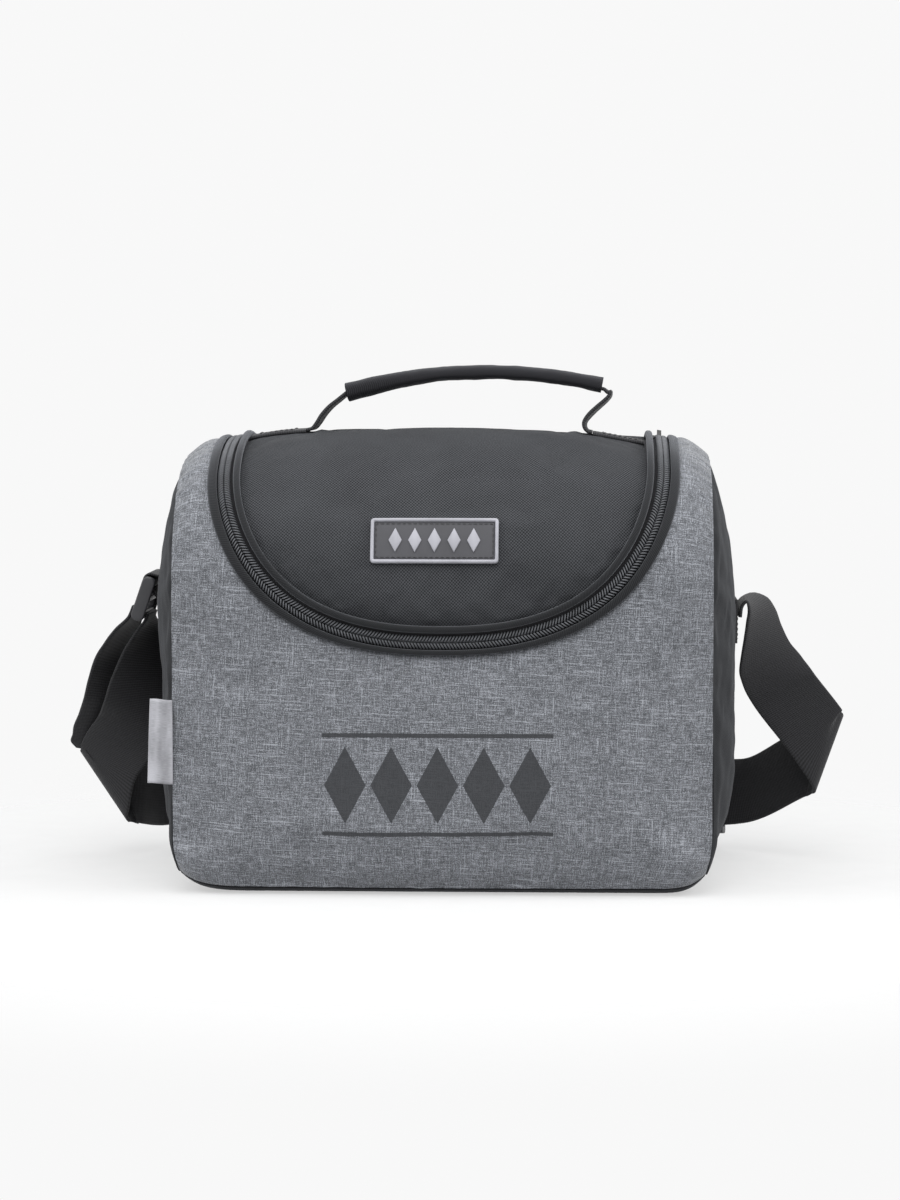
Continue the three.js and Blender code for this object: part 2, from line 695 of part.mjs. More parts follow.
const sideways = [0, 1, 0];
function makeHandle() {
  const strip = (x) => lidTopZ(x) + WEB_SEAT + WEB / 2;
  const anchor = (from, to) => {
    const stations = [];
    for (let i = 0; i <= 4; i += 1) {
      const x = from + (to - from) * i / 4;
      stations.push([[x, HANDLE_Y, strip(x)], sideways]);
    }
    return ribbon(stations, HANDLE_WIDTH, WEB, 6);
  };
  addPart('handle_anchor_left', 'webbing',
    anchor(HANDLE_LEFT - HANDLE_STRIP, HANDLE_LEFT - LEFT_STRIP_GAP));
  addPart('handle_anchor_right', 'webbing',
    anchor(HANDLE_RIGHT + RIGHT_STRIP_GAP, HANDLE_RIGHT + HANDLE_STRIP));
  const gripEnd = lidTopZ(0) + HANDLE_RISE - GRIP_END_DROP;
  const leg = (foot, points) => {
    const base = strip(foot);
    return ribbon(points.map(([x, z]) => [[x, HANDLE_Y, base + z], sideways]), HANDLE_WIDTH, WEB, 8);
  };
  const lift = gripEnd - strip(0);
  // Each leg is a row of points: x across and the height above the webbing sewn to the lid
  addPart('handle_leg_left', 'webbing', leg(HANDLE_LEFT, [
    [HANDLE_LEFT - 1.6, 0.2],
    [HANDLE_LEFT + 2.5, 3.6],
    [HANDLE_LEFT + 9, 12],
    [GRIP_LEFT - LEG_GAP, lift + 1],
  ]));
  addPart('handle_leg_right', 'webbing', leg(HANDLE_RIGHT, [
    [HANDLE_RIGHT + 1.6, 0.2],
    [HANDLE_RIGHT - 0.5, 2.6],
    [HANDLE_RIGHT + 5, 9.5],
    [HANDLE_RIGHT + 11.5, 15],
    [HANDLE_RIGHT + 11.5, lift - 0.5],
    [GRIP_RIGHT + LEG_GAP, lift + 3.4],
  ]));
  const middle = (GRIP_LEFT + GRIP_RIGHT) / 2;
  const archZ = (x) => {
    const t = (x - middle) / (GRIP_RIGHT - middle);
    return gripEnd + GRIP_END_LIFT + GRIP_TILT * t + GRIP_ARCH * (1 - t * t);
  };
  const arch = (reach) => {
    const stations = [];
    for (let i = 0; i <= 8; i += 1) {
      const x = GRIP_LEFT + reach + (GRIP_RIGHT - GRIP_LEFT - 2 * reach) * i / 8;
      stations.push([[x, HANDLE_Y, archZ(x)], sideways]);
    }
    return stations;
  };
  addPart('handle_webbing', 'webbing', ribbon(arch(-WEB_PAST_GRIP), HANDLE_WIDTH, WEB, 12));
  addPart('handle_grip', 'twill', sleeve(arch(GRIP_SHORT), 12));
}

// Padded sleeve round the handle's webbing, with the webbing's slot through it; the smaller the power,
// the squarer the ring
const OVAL_POWER = 0.6;
const SLOT_POWER = 0.25;
function sleeve(stations, steps) {
  const route = centreLine(stations);
  const around = 12;
  const ring = (width, height, power) => (i, j) => {
    const t = i / steps;
    const centre = route.getPoint(t);
    const up = route.getTangent(t).cross(new THREE.Vector3(...sideways));
    const angle = 2 * Math.PI * (j + 0.5) / around;
    const c = Math.cos(angle);
    const d = Math.sin(angle);
    const plump = 1 - SLEEVE_TAPER * Math.pow(2 * t - 1, 4);
    centre.y += Math.sign(c) * Math.pow(Math.abs(c), power) * width / 2;
    return centre.addScaledVector(up, Math.sign(d) * Math.pow(Math.abs(d), power) * height / 2 * plump);
  };
  const outer = ring(GRIP_WIDTH + SLEEVE_WIDER, GRIP_THICK, OVAL_POWER);
  const slot = ring(HANDLE_WIDTH + SLEEVE_SLOT_WIDER, WEB + SLEEVE_SLOT_HIGHER, SLOT_POWER);
  return shell(steps, around, outer, slot, true);
}

// Route of the strap, from the patch on the right side, down and out, behind the bag and up on the left.
// It was drawn by eye after the photograph: each row is a centre and the direction of the strap's width.
const strapRoute = [
  [[SIDE_X + 3.2, STRAP_Y, STRAP_Z - 7], [0, 1, 0]],
  [[SIDE_X + 4.2, STRAP_Y, STRAP_Z - 1.5], [0, 1, 0]],
  [[SIDE_X + 8, STRAP_Y + 0.3, STRAP_Z + 0.9], [0.12, 0.99, 0.05]],
  [[SIDE_X + 12, STRAP_Y + 1, STRAP_Z - 1.8], [0.3, 0.94, 0.1]],
  [[SIDE_X + 13.7, STRAP_Y + 1.8, STRAP_Z - 7.5], [0.45, 0.88, 0.12]],
  [[SIDE_X + 14.6, STRAP_Y + 3, STRAP_Z - 15.3], [0.57, 0.81, 0.15]],
  [[SIDE_X + 16.4, STRAP_Y + 6, STRAP_Z - 25.5], [0.75, 0.63, 0.2]],
  [[SIDE_X + 19.8, STRAP_Y + 11, STRAP_Z - 33.7], [0.88, 0.4, 0.27]],
  [[SIDE_X + 25.8, STRAP_Y + 17, STRAP_Z - 43.8], [0.9, 0.05, 0.44]],
  [[SIDE_X + 40.8, BACK_Y - 41.9, BACK_RUN_Z + 39.8], [0.77, 0.07, 0.63]],
  [[SIDE_X + 46.2, BACK_Y - 37.3, BACK_RUN_Z + 31.4], [0.33, 0, 0.94]],
  [[SIDE_X + 47.5, BACK_Y - 33.9, BACK_RUN_Z + 27.8], [0.33, 0, 0.94]],
  [[SIDE_X + 44.7, BACK_Y - 29.2, BACK_RUN_Z + 25.1], [0.33, 0, 0.94]],
  [[SIDE_X + 35.3, BACK_Y - 22.8, BACK_RUN_Z + 21.3], [-0.13, 0.36, 0.92]],
  [[SIDE_X + 15.3, BACK_Y - 5, BACK_RUN_Z + 7.8], [-0.2, 0.5, 0.84]],
  [[SIDE_X + 5, BACK_Y + 2, BACK_RUN_Z + 4.8], [-0.12, 0.3, 0.95]],
  [[SIDE_X - 14, BACK_Y + 7.5, BACK_RUN_Z + 3.6], [-0.06, 0.12, 0.99]],
  [[SIDE_X - 41.4, BACK_Y + BACK_RUN_OUT, BACK_RUN_Z + 3], [0, 0, 1]],
  [[HALF_WIDTH / 4, BACK_Y + BACK_RUN_OUT + 0.5, BACK_RUN_Z], [0, 0, 1]],
  [[-HALF_WIDTH / 4, BACK_Y + BACK_RUN_OUT + 0.5, BACK_RUN_Z], [0, 0, 1]],
  [[41.4 - SIDE_X, BACK_Y + BACK_RUN_OUT - 1, BACK_RUN_Z + 2], [0, 0, 1]],
  [[-SIDE_X - 1, BACK_Y + 3, BACK_RUN_Z + 4], [0, 0, 1]],
  [[-SIDE_X - 10, BACK_Y - 4, BACK_RUN_Z + 3.6], [0, 0.08, 0.99]],
  [[-SIDE_X - 21.3, BACK_Y - 22.9, BACK_RUN_Z + 6.9], [-0.08, 0.37, 0.92]],
  [[-SIDE_X - 31.3, BACK_Y - 29.2, BACK_RUN_Z + 8.5], [-0.55, 0, 0.83]],
  [[-SIDE_X - 34.8, BACK_Y - 33.9, BACK_RUN_Z + 10.7], [-0.55, 0, 0.83]],
  [[-SIDE_X - 34.5, BACK_Y - 37.4, BACK_RUN_Z + 14.8], [-0.55, 0, 0.83]],
  [[-SIDE_X - 31.7, BACK_Y - 41.2, BACK_RUN_Z + 23.6], [-0.88, 0.27, 0.4]],
  [[-SIDE_X - 20.3, STRAP_Y + 15, BACK_RUN_Z + 41], [-0.93, -0.15, 0.33]],
  [[-SIDE_X - 17, STRAP_Y + 11, STRAP_Z - 52], [-0.89, -0.42, 0.17]],
  [[-SIDE_X - 14.3, STRAP_Y + 7, STRAP_Z - 38.6], [-0.75, -0.65, 0.09]],
  [[LOCK_X - 2.3, STRAP_Y + 4, STRAP_Z - 24.7], [-0.55, -0.84, 0]],
  [[LOCK_X, STRAP_Y + 1, STRAP_Z - 13.5], [-0.2, -0.98, 0]],
  [[LOCK_X + 0.6, STRAP_Y, STRAP_Z - 8.7], [0, -1, 0]],
  [[LOCK_X + 1.4, STRAP_Y, STRAP_Z - 6.35], [0, -1, 0]],
];
// Loose end of the strap, from the adjuster down and out
const tailRoute = [
  [[LOCK_X - 5.1, STRAP_Y, STRAP_Z - 2.6], [0, -1, 0]],
  [[LOCK_X - 7.3, STRAP_Y, STRAP_Z - 8], [0, -1, 0]],
  [[LOCK_X - 13, STRAP_Y + 1, STRAP_Z - 13.5], [-0.05, -1, 0]],
  [[LOCK_X - 16.3, STRAP_Y + 5, STRAP_Z - 21.3], [-0.25, -0.97, 0]],
  [[LOCK_X - 17.7, STRAP_Y + 9, STRAP_Z - 28.5], [-0.45, -0.89, 0]],
  [[LOCK_X - 18, STRAP_Y + 12.5, STRAP_Z - 37.6], [-0.65, -0.76, 0]],
  [[LOCK_X - 18.8, STRAP_Y + 16, STRAP_Z - 47.6], [-0.82, -0.57, 0]],
  [[LOCK_X - 21, STRAP_Y + 21, STRAP_Z - 57.1], [-0.93, -0.35, 0.05]],
  [[LOCK_X - 24.3, STRAP_Y + 25.6, STRAP_Z - 68.5], [-0.97, -0.08, 0.1]],
];

function solidOf(geometry) {
  const plain = geometry.clone();
  plain.deleteAttribute('normal');
  plain.deleteAttribute('uv');
  const merged = mergeVertices(plain, 1e-4);
  const vertProperties = new Float32Array(merged.attributes.position.array);
  const triVerts = new Uint32Array(merged.index.array);
  return new wasm.Manifold(new wasm.Mesh({ numProp: 3, vertProperties, triVerts }));
}

function geometryOf(solid) {
  const mesh = solid.getMesh();
  const geometry = new THREE.BufferGeometry();
  geometry.setAttribute('position', new THREE.Float32BufferAttribute(mesh.vertProperties, 3));
  geometry.setIndex(Array.from(mesh.triVerts));
  return geometry;
}

function block(x, y, z, place) {
  const geometry = new THREE.BoxGeometry(x, y, z);
  geometry.translate(...place);
  return geometry;
}

// Webbing adjuster: a rectangular frame with a middle bar, its slots open through its thickness
function adjuster(length) {
  const wide = STRAP_WIDTH + 2 * LOCK_WALL;
  const slot = (length - 3 * LOCK_WALL + BAR_THINNER) / 2;
  const bar = LOCK_WALL - BAR_THINNER;
  let solid = solidOf(block(LOCK_THICK, wide, length, [0, 0, 0]));
  for (const sign of [-1, 1]) {
    const middle = sign * (bar / 2 + slot / 2);
    solid = solid.subtract(solidOf(block(2 * LOCK_THICK, STRAP_WIDTH + SLOT_ROOM, slot, [0, 0, middle])));
  }
  return geometryOf(solid);
}

// Webbing tab that runs from the left patch round the adjuster's upper bar
function tabRoute(barX, barZ, reach) {
  const start = -SIDE_X - PATCH_GAP - WEB - TAB_GAP;
  const round = [];
  for (let i = 0; i <= 6; i += 1) {
    const angle = Math.PI / 2 - Math.PI * i / 6;
    round.push([[barX - reach * Math.cos(angle), STRAP_Y, barZ + reach * Math.sin(angle)], sideways]);
  }
  const top = [[start, STRAP_Y, barZ + reach - TAB_TOP_DROP], sideways];
  const foot = [[start, STRAP_Y, barZ - reach - TAB_FOOT_DROP], sideways];
  return [top, ...round, foot];
}

// Plastic loop that slides on the strap behind the bag
function makeKeeper() {
  const { centre, along, up } = routeFrame(strapRoute)(KEEPER_SHARE);
  const wide = STRAP_WIDTH + 2 * LOCK_WALL;
  const thick = WEB + KEEPER_ROOM + 2 * KEEPER_WALL;
  const loop = solidOf(block(KEEPER_LENGTH, wide, thick, [0, 0, 0]));
  const slotWide = STRAP_WIDTH + KEEPER_SLOT_ROOM;
  const window = solidOf(block(2 * KEEPER_LENGTH, slotWide, WEB + KEEPER_ROOM, [0, 0, 0]));
  const keeper = addPart('strap_keeper', 'plastic', geometryOf(loop.subtract(window)));
  keeper.matrixAutoUpdate = false;
  keeper.matrix.makeBasis(along, up.clone().cross(along), up).setPosition(centre);
}

function makeStrap() {
  const patchX = SIDE_X + PATCH_GAP + WEB / 2;
  for (const [side, sign, lift] of [['left', -1, PATCH_LIFT_LEFT], ['right', 1, 0]]) {
    const middleZ = STRAP_Z - PATCH_HEIGHT / 2 + PATCH_OVER_PIVOT + lift;
    addPart(`strap_patch_${side}`, 'webbing',
      block(WEB, STRAP_WIDTH, PATCH_HEIGHT, [sign * patchX, STRAP_Y, middleZ]));
  }
  addPart('shoulder_strap', 'webbing', ribbon(strapRoute, STRAP_WIDTH, WEB, 70));
  addPart('strap_tail', 'webbing', ribbon(tailRoute, STRAP_WIDTH, WEB, 24));
  const lock = addPart('ladder_lock', 'plastic', adjuster(LOCK_LENGTH));
  const lockZ = STRAP_Z + LOCK_UP;
  lock.position.set(LOCK_X, STRAP_Y, lockZ);
  lock.rotation.y = LOCK_TILT * RAD;
  const barUp = LOCK_LENGTH / 2 - LOCK_WALL / 2;
  const barX = LOCK_X + barUp * Math.sin(LOCK_TILT * RAD);
  const barZ = lockZ + barUp * Math.cos(LOCK_TILT * RAD);
  makeKeeper();
  const tab = tabRoute(barX, barZ, TAB_REACH);
  addPart('strap_tab_left', 'webbing', ribbon(tab, STRAP_WIDTH - TAB_NARROWER, TAB_WEB, 18));
}

// Label folded out of the seam on the left of the front; each step is how far out and how far forward
const labelSteps = [[0.9, 0.9], [3, 2], [6.5, 3], [LABEL_REACH, 3.4]];
function makeLabel() {
  const seamX = -HALF_WIDTH + SEAM_GAP;
  const seamY = wall(seamX, outline[2].start + LABEL_LOW, 0).y;
  const middle = LABEL_LOW + LABEL_HEIGHT / 2;
  const route = labelSteps.map(([out, forward]) => {
    return [[seamX - out + LABEL_TUCK, seamY - forward, middle], [0, 0, 1]];
  });
  addPart('side_label', 'satin', ribbon(route, LABEL_HEIGHT, LABEL_THICK, 6));
}

// Zip slider over the right end of the chain, with the bridge that holds its pull
const sliderLine = ZIP_HALF_WIDTH;
const sliderStart = hingeLine + SLIDER_PAST_HINGE;
const sliderTop = TAIL_HEIGHT + SLIDER_ROOM + SLIDER_WALL;
function alongChain(flat, from, to, steps) {
  const sections = [];
  for (let i = 0; i <= steps; i += 1) {
    const s = from + (to - from) * i / steps;
    sections.push(flat.map(([across, offset]) => wall(sliderLine + across, s, offset)));
  }
  return sweep(sections, flat);
}

function makeSlider() {
  const inner = chainHalf + SLIDER_ROOM;
  const outer = inner + SLIDER_WALL;
  const under = sliderTop - SLIDER_WALL;
  const cover = [
    [-outer, SLIDER_LIFT], [-inner, SLIDER_LIFT], [-inner, under], [inner, under],
    [inner, SLIDER_LIFT], [outer, SLIDER_LIFT], [outer, sliderTop], [-outer, sliderTop],
  ];
  let solid = solidOf(alongChain(cover, sliderStart, sliderStart + SLIDER_LENGTH, 3));
  const bridgeFrom = sliderStart + BRIDGE_INSET;
  const bridgeTo = sliderStart + SLIDER_LENGTH - BRIDGE_INSET;
  const half = BRIDGE_WIDTH / 2;
  const ends = box([sliderTop - BRIDGE_SUNK, sliderTop + BRIDGE_RISE + SLIDER_WALL], -half, half);
  solid = solid.add(solidOf(alongChain(ends, bridgeFrom, bridgeTo, 2)));
  const gap = box([sliderTop, sliderTop + BRIDGE_RISE], -half - 1, half + 1);
  solid = solid.subtract(solidOf(alongChain(gap, bridgeFrom + BRIDGE_LEG, bridgeTo - BRIDGE_LEG, 2)));
  addPart('zip_slider', 'metal', geometryOf(solid));
}

// The pull lies back over the chain's end, with its bar under the slider's bridge
function makePull() {
  const barS = sliderStart + SLIDER_LENGTH / 2;
  const bar = wall(sliderLine, barS, sliderTop + BRIDGE_RISE / 2);
  const normal = outlineAt(barS);
  const half = PULL_THICK / 2;
  const inner = BRIDGE_WIDTH / 2 + PULL_ROOM;
  let solid = solidOf(block(PULL_WIDTH, PULL_LENGTH, PULL_THICK, [0, PULL_LENGTH / 2 - half, 0]));
  const slot = 2 * (PULL_SLOT - half);
  solid = solid.subtract(solidOf(block(2 * inner, slot, 3 * PULL_THICK, [0, slot / 2 + half, 0])));
  const pull = addPart('zip_pull', 'metal', geometryOf(solid));
  pull.position.copy(bar);
  pull.rotation.x = -Math.atan2(normal.ny, normal.nz);
}

makeBody();
makeZip();
makeLid();
makeHandle();
makeStrap();
makeLabel();
makeSlider();
makePull();

export default bag;
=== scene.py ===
import math

import bmesh
import bpy
import numpy as np
from mathutils import Matrix, Vector


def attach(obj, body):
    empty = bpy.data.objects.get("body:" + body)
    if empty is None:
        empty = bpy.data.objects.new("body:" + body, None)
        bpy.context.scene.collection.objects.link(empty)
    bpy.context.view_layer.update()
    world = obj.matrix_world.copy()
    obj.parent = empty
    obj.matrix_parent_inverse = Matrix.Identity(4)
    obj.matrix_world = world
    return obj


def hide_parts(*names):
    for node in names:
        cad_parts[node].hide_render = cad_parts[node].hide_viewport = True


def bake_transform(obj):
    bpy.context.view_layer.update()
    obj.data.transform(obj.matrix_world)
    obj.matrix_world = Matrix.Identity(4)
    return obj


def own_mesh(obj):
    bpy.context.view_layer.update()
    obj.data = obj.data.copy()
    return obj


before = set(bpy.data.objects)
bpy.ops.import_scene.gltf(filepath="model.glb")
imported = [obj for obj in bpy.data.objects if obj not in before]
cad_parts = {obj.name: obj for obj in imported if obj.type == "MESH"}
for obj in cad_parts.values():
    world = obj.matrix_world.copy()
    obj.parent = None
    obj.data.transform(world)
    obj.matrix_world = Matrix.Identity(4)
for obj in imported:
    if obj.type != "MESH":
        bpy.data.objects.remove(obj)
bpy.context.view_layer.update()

# Sizes are in millimetres, as on the drawing of the bag, and meshes are made in metres
MM = 0.001

# Body outline, seen from the side
HALF_WIDTH = 120.0
BODY_DEPTH = 150.0
FRONT_STRAIGHT_TOP = 133.0
CORNER_RADIUS = 18.0
SHOULDER_RADIUS = 65.0
SHOULDER_TURN = 75.0
CROWN_RADIUS = 150.0
CROWN_TURN = 23.0
PANEL_SWELL = 4.0
SWELL_RISE = 48.0
EDGE_DROP = 8.0
EDGE_ROLL_WIDTH = 32.0
GUSSET_BULGE = 11.4
SIDE_MIDDLE_Z = 98.0
BASE_SEAM_HEIGHT = 2.2
SEAM_GAP = 0.4
FOOT_NARROWING = 4.0
FOOT_HEIGHT = 24.0

# Cloth of the body
CLOTH = 1.2
CLOTH_X = 119.6
FABRIC_X = 118.4
SIDE_INSET = 9.0
RIM_INSIDE = 1.1
BASE_SHOWS = 2.4
SHOULDER_PUFF = 1.8
PUFF_X, PUFF_HALF_WIDTH = 112.0, 7.5

# Zip round the lid
ZIP_HALF_WIDTH = 98.0
ZIP_DROP = 88.0
ZIP_ROUNDNESS = 2.4
ZIP_START_BACK = 81.4
HINGE_PAST_CROWN = 4.4
HINGE_REACH = 9.0
PANEL_EDGE = 3.0
RIB_FROM, RIB_WIDTH = 3.1, 4.3
PIPING_FROM, PIPING_WIDTH = 4.2, 3.2
CHAIN_TAIL = 26.0
TAPE_TOP = -2.5
TOOTH_PITCH = 1.42
TOOTH_RADIUS = 0.40
LID_SAG = 2.6

# Label in the left seam
LABEL_LOW = 49.0
LABEL_HEIGHT = 37.5
LABEL_LEAN = 1.4
LABEL_THICK = 0.22

# Print on the front
PRINT_X, PRINT_S = -1.3, 117.8
PRINT_WIDTH = 101.5
PRINT_LOZENGES = 5
LOZENGE_SHARE = 0.9
LOZENGE_HEIGHT = 34.0
PRINT_LINE_AT = 22.0
PRINT_LINE = 1.9

# Side outline: a walk of straight runs and arcs, forward from the middle of the base
flat_half = BODY_DEPTH / 2 - CORNER_RADIUS
tilt = [math.radians(SHOULDER_TURN), math.radians(SHOULDER_TURN + CROWN_TURN)]
crown_y = -BODY_DEPTH / 2 + SHOULDER_RADIUS * (1 - math.cos(tilt[0]))
crown_end_y = crown_y + CROWN_RADIUS * (math.cos(tilt[0]) - math.cos(tilt[1]))
crown_z = FRONT_STRAIGHT_TOP + SHOULDER_RADIUS * math.sin(tilt[0])
crown_end_z = crown_z + CROWN_RADIUS * (math.sin(tilt[1]) - math.sin(tilt[0]))
back_radius = (BODY_DEPTH / 2 - crown_end_y) / (1 + math.cos(tilt[1]))
back_rise = crown_end_z - back_radius * math.sin(tilt[1]) - CORNER_RADIUS
WALK = [
    (flat_half, 0), (CORNER_RADIUS, 90), (FRONT_STRAIGHT_TOP - CORNER_RADIUS, 0),
    (SHOULDER_RADIUS, SHOULDER_TURN), (CROWN_RADIUS, CROWN_TURN),
    (back_radius, 180 - SHOULDER_TURN - CROWN_TURN), (back_rise, 0), (CORNER_RADIUS, 90), (flat_half, 0),
]


def place_walk():
    rows = []
    s = y = z = heading = 0.0
    for size, turn in WALK:
        rows.append((s, y, z, heading, 1 / size if turn else 0.0))
        if turn:
            after = heading + math.radians(turn)
            y += size * (math.sin(heading) - math.sin(after))
            z += size * (math.cos(heading) - math.cos(after))
            s += size * (after - heading)
            heading = after
        else:
            y -= size * math.cos(heading)
            z += size * math.sin(heading)
            s += size
    return np.array(rows), s


legs, girth = place_walk()
straight_start, shoulder_start, crown_start, crown_end = legs[2:6, 0]
hinge_line = crown_end + HINGE_PAST_CROWN
zip_start = hinge_line - ZIP_START_BACK
front_seam = flat_half + CORNER_RADIUS * math.acos(1 - BASE_SEAM_HEIGHT / CORNER_RADIUS)
back_seam = girth - front_seam

BADGE_X, BADGE_S = -2.8, shoulder_start + 23.8
BADGE_WIDTH, BADGE_HEIGHT = 56.2, 19.3
HANDLE_Y = 12.0
HANDLE_WIDTH = 25.0
STRAP_Y, STRAP_Z = 15.0, 126.0


def outline_at(s):
    """Points and outward normals (y, z, ny, nz) of the side outline at distances s."""
    s = np.mod(s, girth)
    leg = legs[np.searchsorted(legs[:, 0], s, side="right") - 1]
    start, y, z, heading, bend = np.moveaxis(leg, -1, 0)
    along = s - start
    angle = heading + along * bend
    radius = 1 / np.where(bend > 0, bend, 1)
    y = y + np.where(bend > 0, radius * (np.sin(heading) - np.sin(angle)), -along * np.cos(heading))
    z = z + np.where(bend > 0, radius * (np.cos(heading) - np.cos(angle)), along * np.sin(heading))
    return y, z, -np.sin(angle), -np.cos(angle)


def smooth(t):
    k = np.clip(t, 0, 1)
    return k * k * (3 - 2 * k)


def past_base(s):
    """Distance round the outline from the flat of the base."""
    wrapped = np.mod(s, girth)
    return np.minimum(wrapped, girth - wrapped) - flat_half


def edge_roll(x):
    """0 on the flat of a panel, rising to 1 at its side."""
    return np.maximum(0, np.abs(x) - HALF_WIDTH + EDGE_ROLL_WIDTH) / EDGE_ROLL_WIDTH


def swell(x, s):
    puff = PANEL_SWELL * smooth(past_base(s) / SWELL_RISE)
    across = np.minimum(1, np.abs(x) / HALF_WIDTH)
    return puff * (1 - across**2) - EDGE_DROP * edge_roll(x) ** 2.5


def body_points(x, y, z):
    """Points of the body, drawn in a little across near the floor."""
    low = 1 - smooth(z / FOOT_HEIGHT)
    return np.stack(np.broadcast_arrays(x * (1 - FOOT_NARROWING / HALF_WIDTH * low), y, z), -1)


def wall(x, s, offset):
    """Points on the body's wall at x across, s round the outline and offset out of it."""
    x, s, offset = (np.asarray(v, float) for v in np.broadcast_arrays(x, s, offset))
    y, z, ny, nz = outline_at(s)
    out = swell(x, s) + offset
    return body_points(x, y + ny * out, z + nz * out)


def ripple(u, v, size, seed, waves=9):
    """Smooth random height between about -1 and 1, the same on each run."""
    rng = np.random.default_rng(seed)
    total = 0
    for _ in range(waves):
        angle = rng.uniform(0, 2 * math.pi)
        length = size * rng.uniform(0.6, 1.7)
        phase = rng.uniform(0, 2 * math.pi)
        total = total + np.sin((u * math.cos(angle) + v * math.sin(angle)) * 2 * math.pi / length + phase)
    return total / math.sqrt(waves) / 1.3


# ---- mesh helpers ----


def link_object(name, data):
    obj = bpy.data.objects.new(name, data)
    bpy.context.scene.collection.objects.link(obj)
    return obj


def mesh_object(name, points, faces, uv=None, material=None):
    """A mesh from points in millimetres, with one uv pair in millimetres for each point."""
    mesh = bpy.data.meshes.new(name)
    mesh.from_pydata((np.asarray(points, float) * MM).tolist(), [], [list(map(int, f)) for f in faces])
    if uv is not None:
        layer = mesh.uv_layers.new(name="cloth")
        corners = np.zeros(len(mesh.loops), int)
        mesh.loops.foreach_get("vertex_index", corners)
        layer.data.foreach_set("uv", (uv * MM)[corners].ravel())
    mesh.validate()
    mesh.update()
    mesh.shade_smooth()
    if material is not None:
        mesh.materials.append(material)
    return link_object(name, mesh)


def tidy_mesh(obj, merge=0.0):
    work = bmesh.new()
    work.from_mesh(obj.data)
    if merge:
        bmesh.ops.remove_doubles(work, verts=work.verts, dist=merge)
    bmesh.ops.recalc_face_normals(work, faces=work.faces)
    work.to_mesh(obj.data)
    work.free()


def grid_faces(rows, cols, start=0, flip=False):
    r, c = np.meshgrid(np.arange(rows - 1), np.arange(cols - 1), indexing="ij")
    a = start + r * cols + c
    quads = np.stack([a, a + 1, a + cols + 1, a + cols], -1).reshape(-1, 4)
    return quads[:, ::-1] if flip else quads


def shell_object(name, outer, inner, uv, material, wrap=False):
    """A closed shell from two grids of points, rows by columns by 3, and the uv grid of both."""
    rows, cols = outer.shape[:2]
    count = rows * cols
    points = np.concatenate([outer.reshape(-1, 3), inner.reshape(-1, 3)])
    uvs = np.concatenate([uv.reshape(-1, 2)] * 2)
    faces = [grid_faces(rows, cols, 0, True), grid_faces(rows, cols, count)]
    edges = [np.arange(cols), (rows - 1) * cols + np.arange(cols)[::-1]]
    if not wrap:
        edges += [(cols - 1) + cols * np.arange(rows), cols * np.arange(rows)[::-1]]
    for edge in edges:
        a, b = edge[:-1], edge[1:]
        faces.append(np.stack([a, b, b + count, a + count], -1))
    obj = mesh_object(name, points, np.concatenate(faces), uvs, material)
    tidy_mesh(obj, merge=1e-7 if wrap else 0)
    return obj


def along_lengths(points):
    return np.concatenate([[0], np.cumsum(np.linalg.norm(np.diff(points, axis=0), axis=1))])


def unit(vectors):
    return vectors / np.linalg.norm(vectors, axis=-1, keepdims=True)


def sweep_object(name, sections, lengths, material, caps=True):
    """A solid from stations by corners by 3 points; lengths are the stations' distances along."""
    stations, corners = sections.shape[:2]
    loop = np.concatenate([sections, sections[:, :1]], 1)
    around = along_lengths(loop[stations // 2])
    points = loop.reshape(-1, 3)
    uvs = np.stack(np.meshgrid(lengths, around, indexing="ij"), -1).reshape(-1, 2)
    faces = list(grid_faces(stations, corners + 1))
    for row in (0, stations - 1) if caps else ():
        faces.append(range(len(points), len(points) + corners))
        points = np.concatenate([points, sections[row]])
        uvs = np.concatenate([uvs, np.stack([around[:corners], np.full(corners, lengths[row])], -1)])
    obj = mesh_object(name, points, faces, uvs, material)
    tidy_mesh(obj, merge=1e-7)
    return obj


TUBE_SIDES = 6


def tubes_object(name, rings, material, caps):
    """Separate tubes, from points of tubes by stations by TUBE_SIDES by 3."""
    tubes, stations = rings.shape[:2]
    k = np.arange(TUBE_SIDES)
    a, b = (TUBE_SIDES * np.arange(stations - 1)[:, None] + side for side in (k, (k + 1) % TUBE_SIDES))
    one = np.stack([a, b, b + TUBE_SIDES, a + TUBE_SIDES], -1).reshape(-1, 4).tolist()
    if caps:
        one += [k[::-1], k + TUBE_SIDES * (stations - 1)]
    size = stations * TUBE_SIDES
    faces = [[i * size + corner for corner in face] for i in range(tubes) for face in one]
    obj = mesh_object(name, rings.reshape(-1, 3), faces, None, material)
    tidy_mesh(obj)
    return obj


def finer(a, wrap=False):
    """An array with a new row, at its cubic value, halfway between each two of its rows."""
    if wrap:
        before, after, after2 = (np.roll(a, step, 0) for step in (1, -1, -2))
    else:
        before = np.concatenate([2 * a[:1] - a[1:2], a[:-1]])
        after = np.concatenate([a[1:], 2 * a[-1:] - a[-2:-1]])
        after2 = np.concatenate([after[1:], 2 * after[-1:] - after[-2:-1]])
    middle = (9 * (a + after) - before - after2) / 16
    out = np.stack([a, middle], 1).reshape(-1, *a.shape[1:])
    return out if wrap else out[:-1]


CLOTH_STEPS = 14


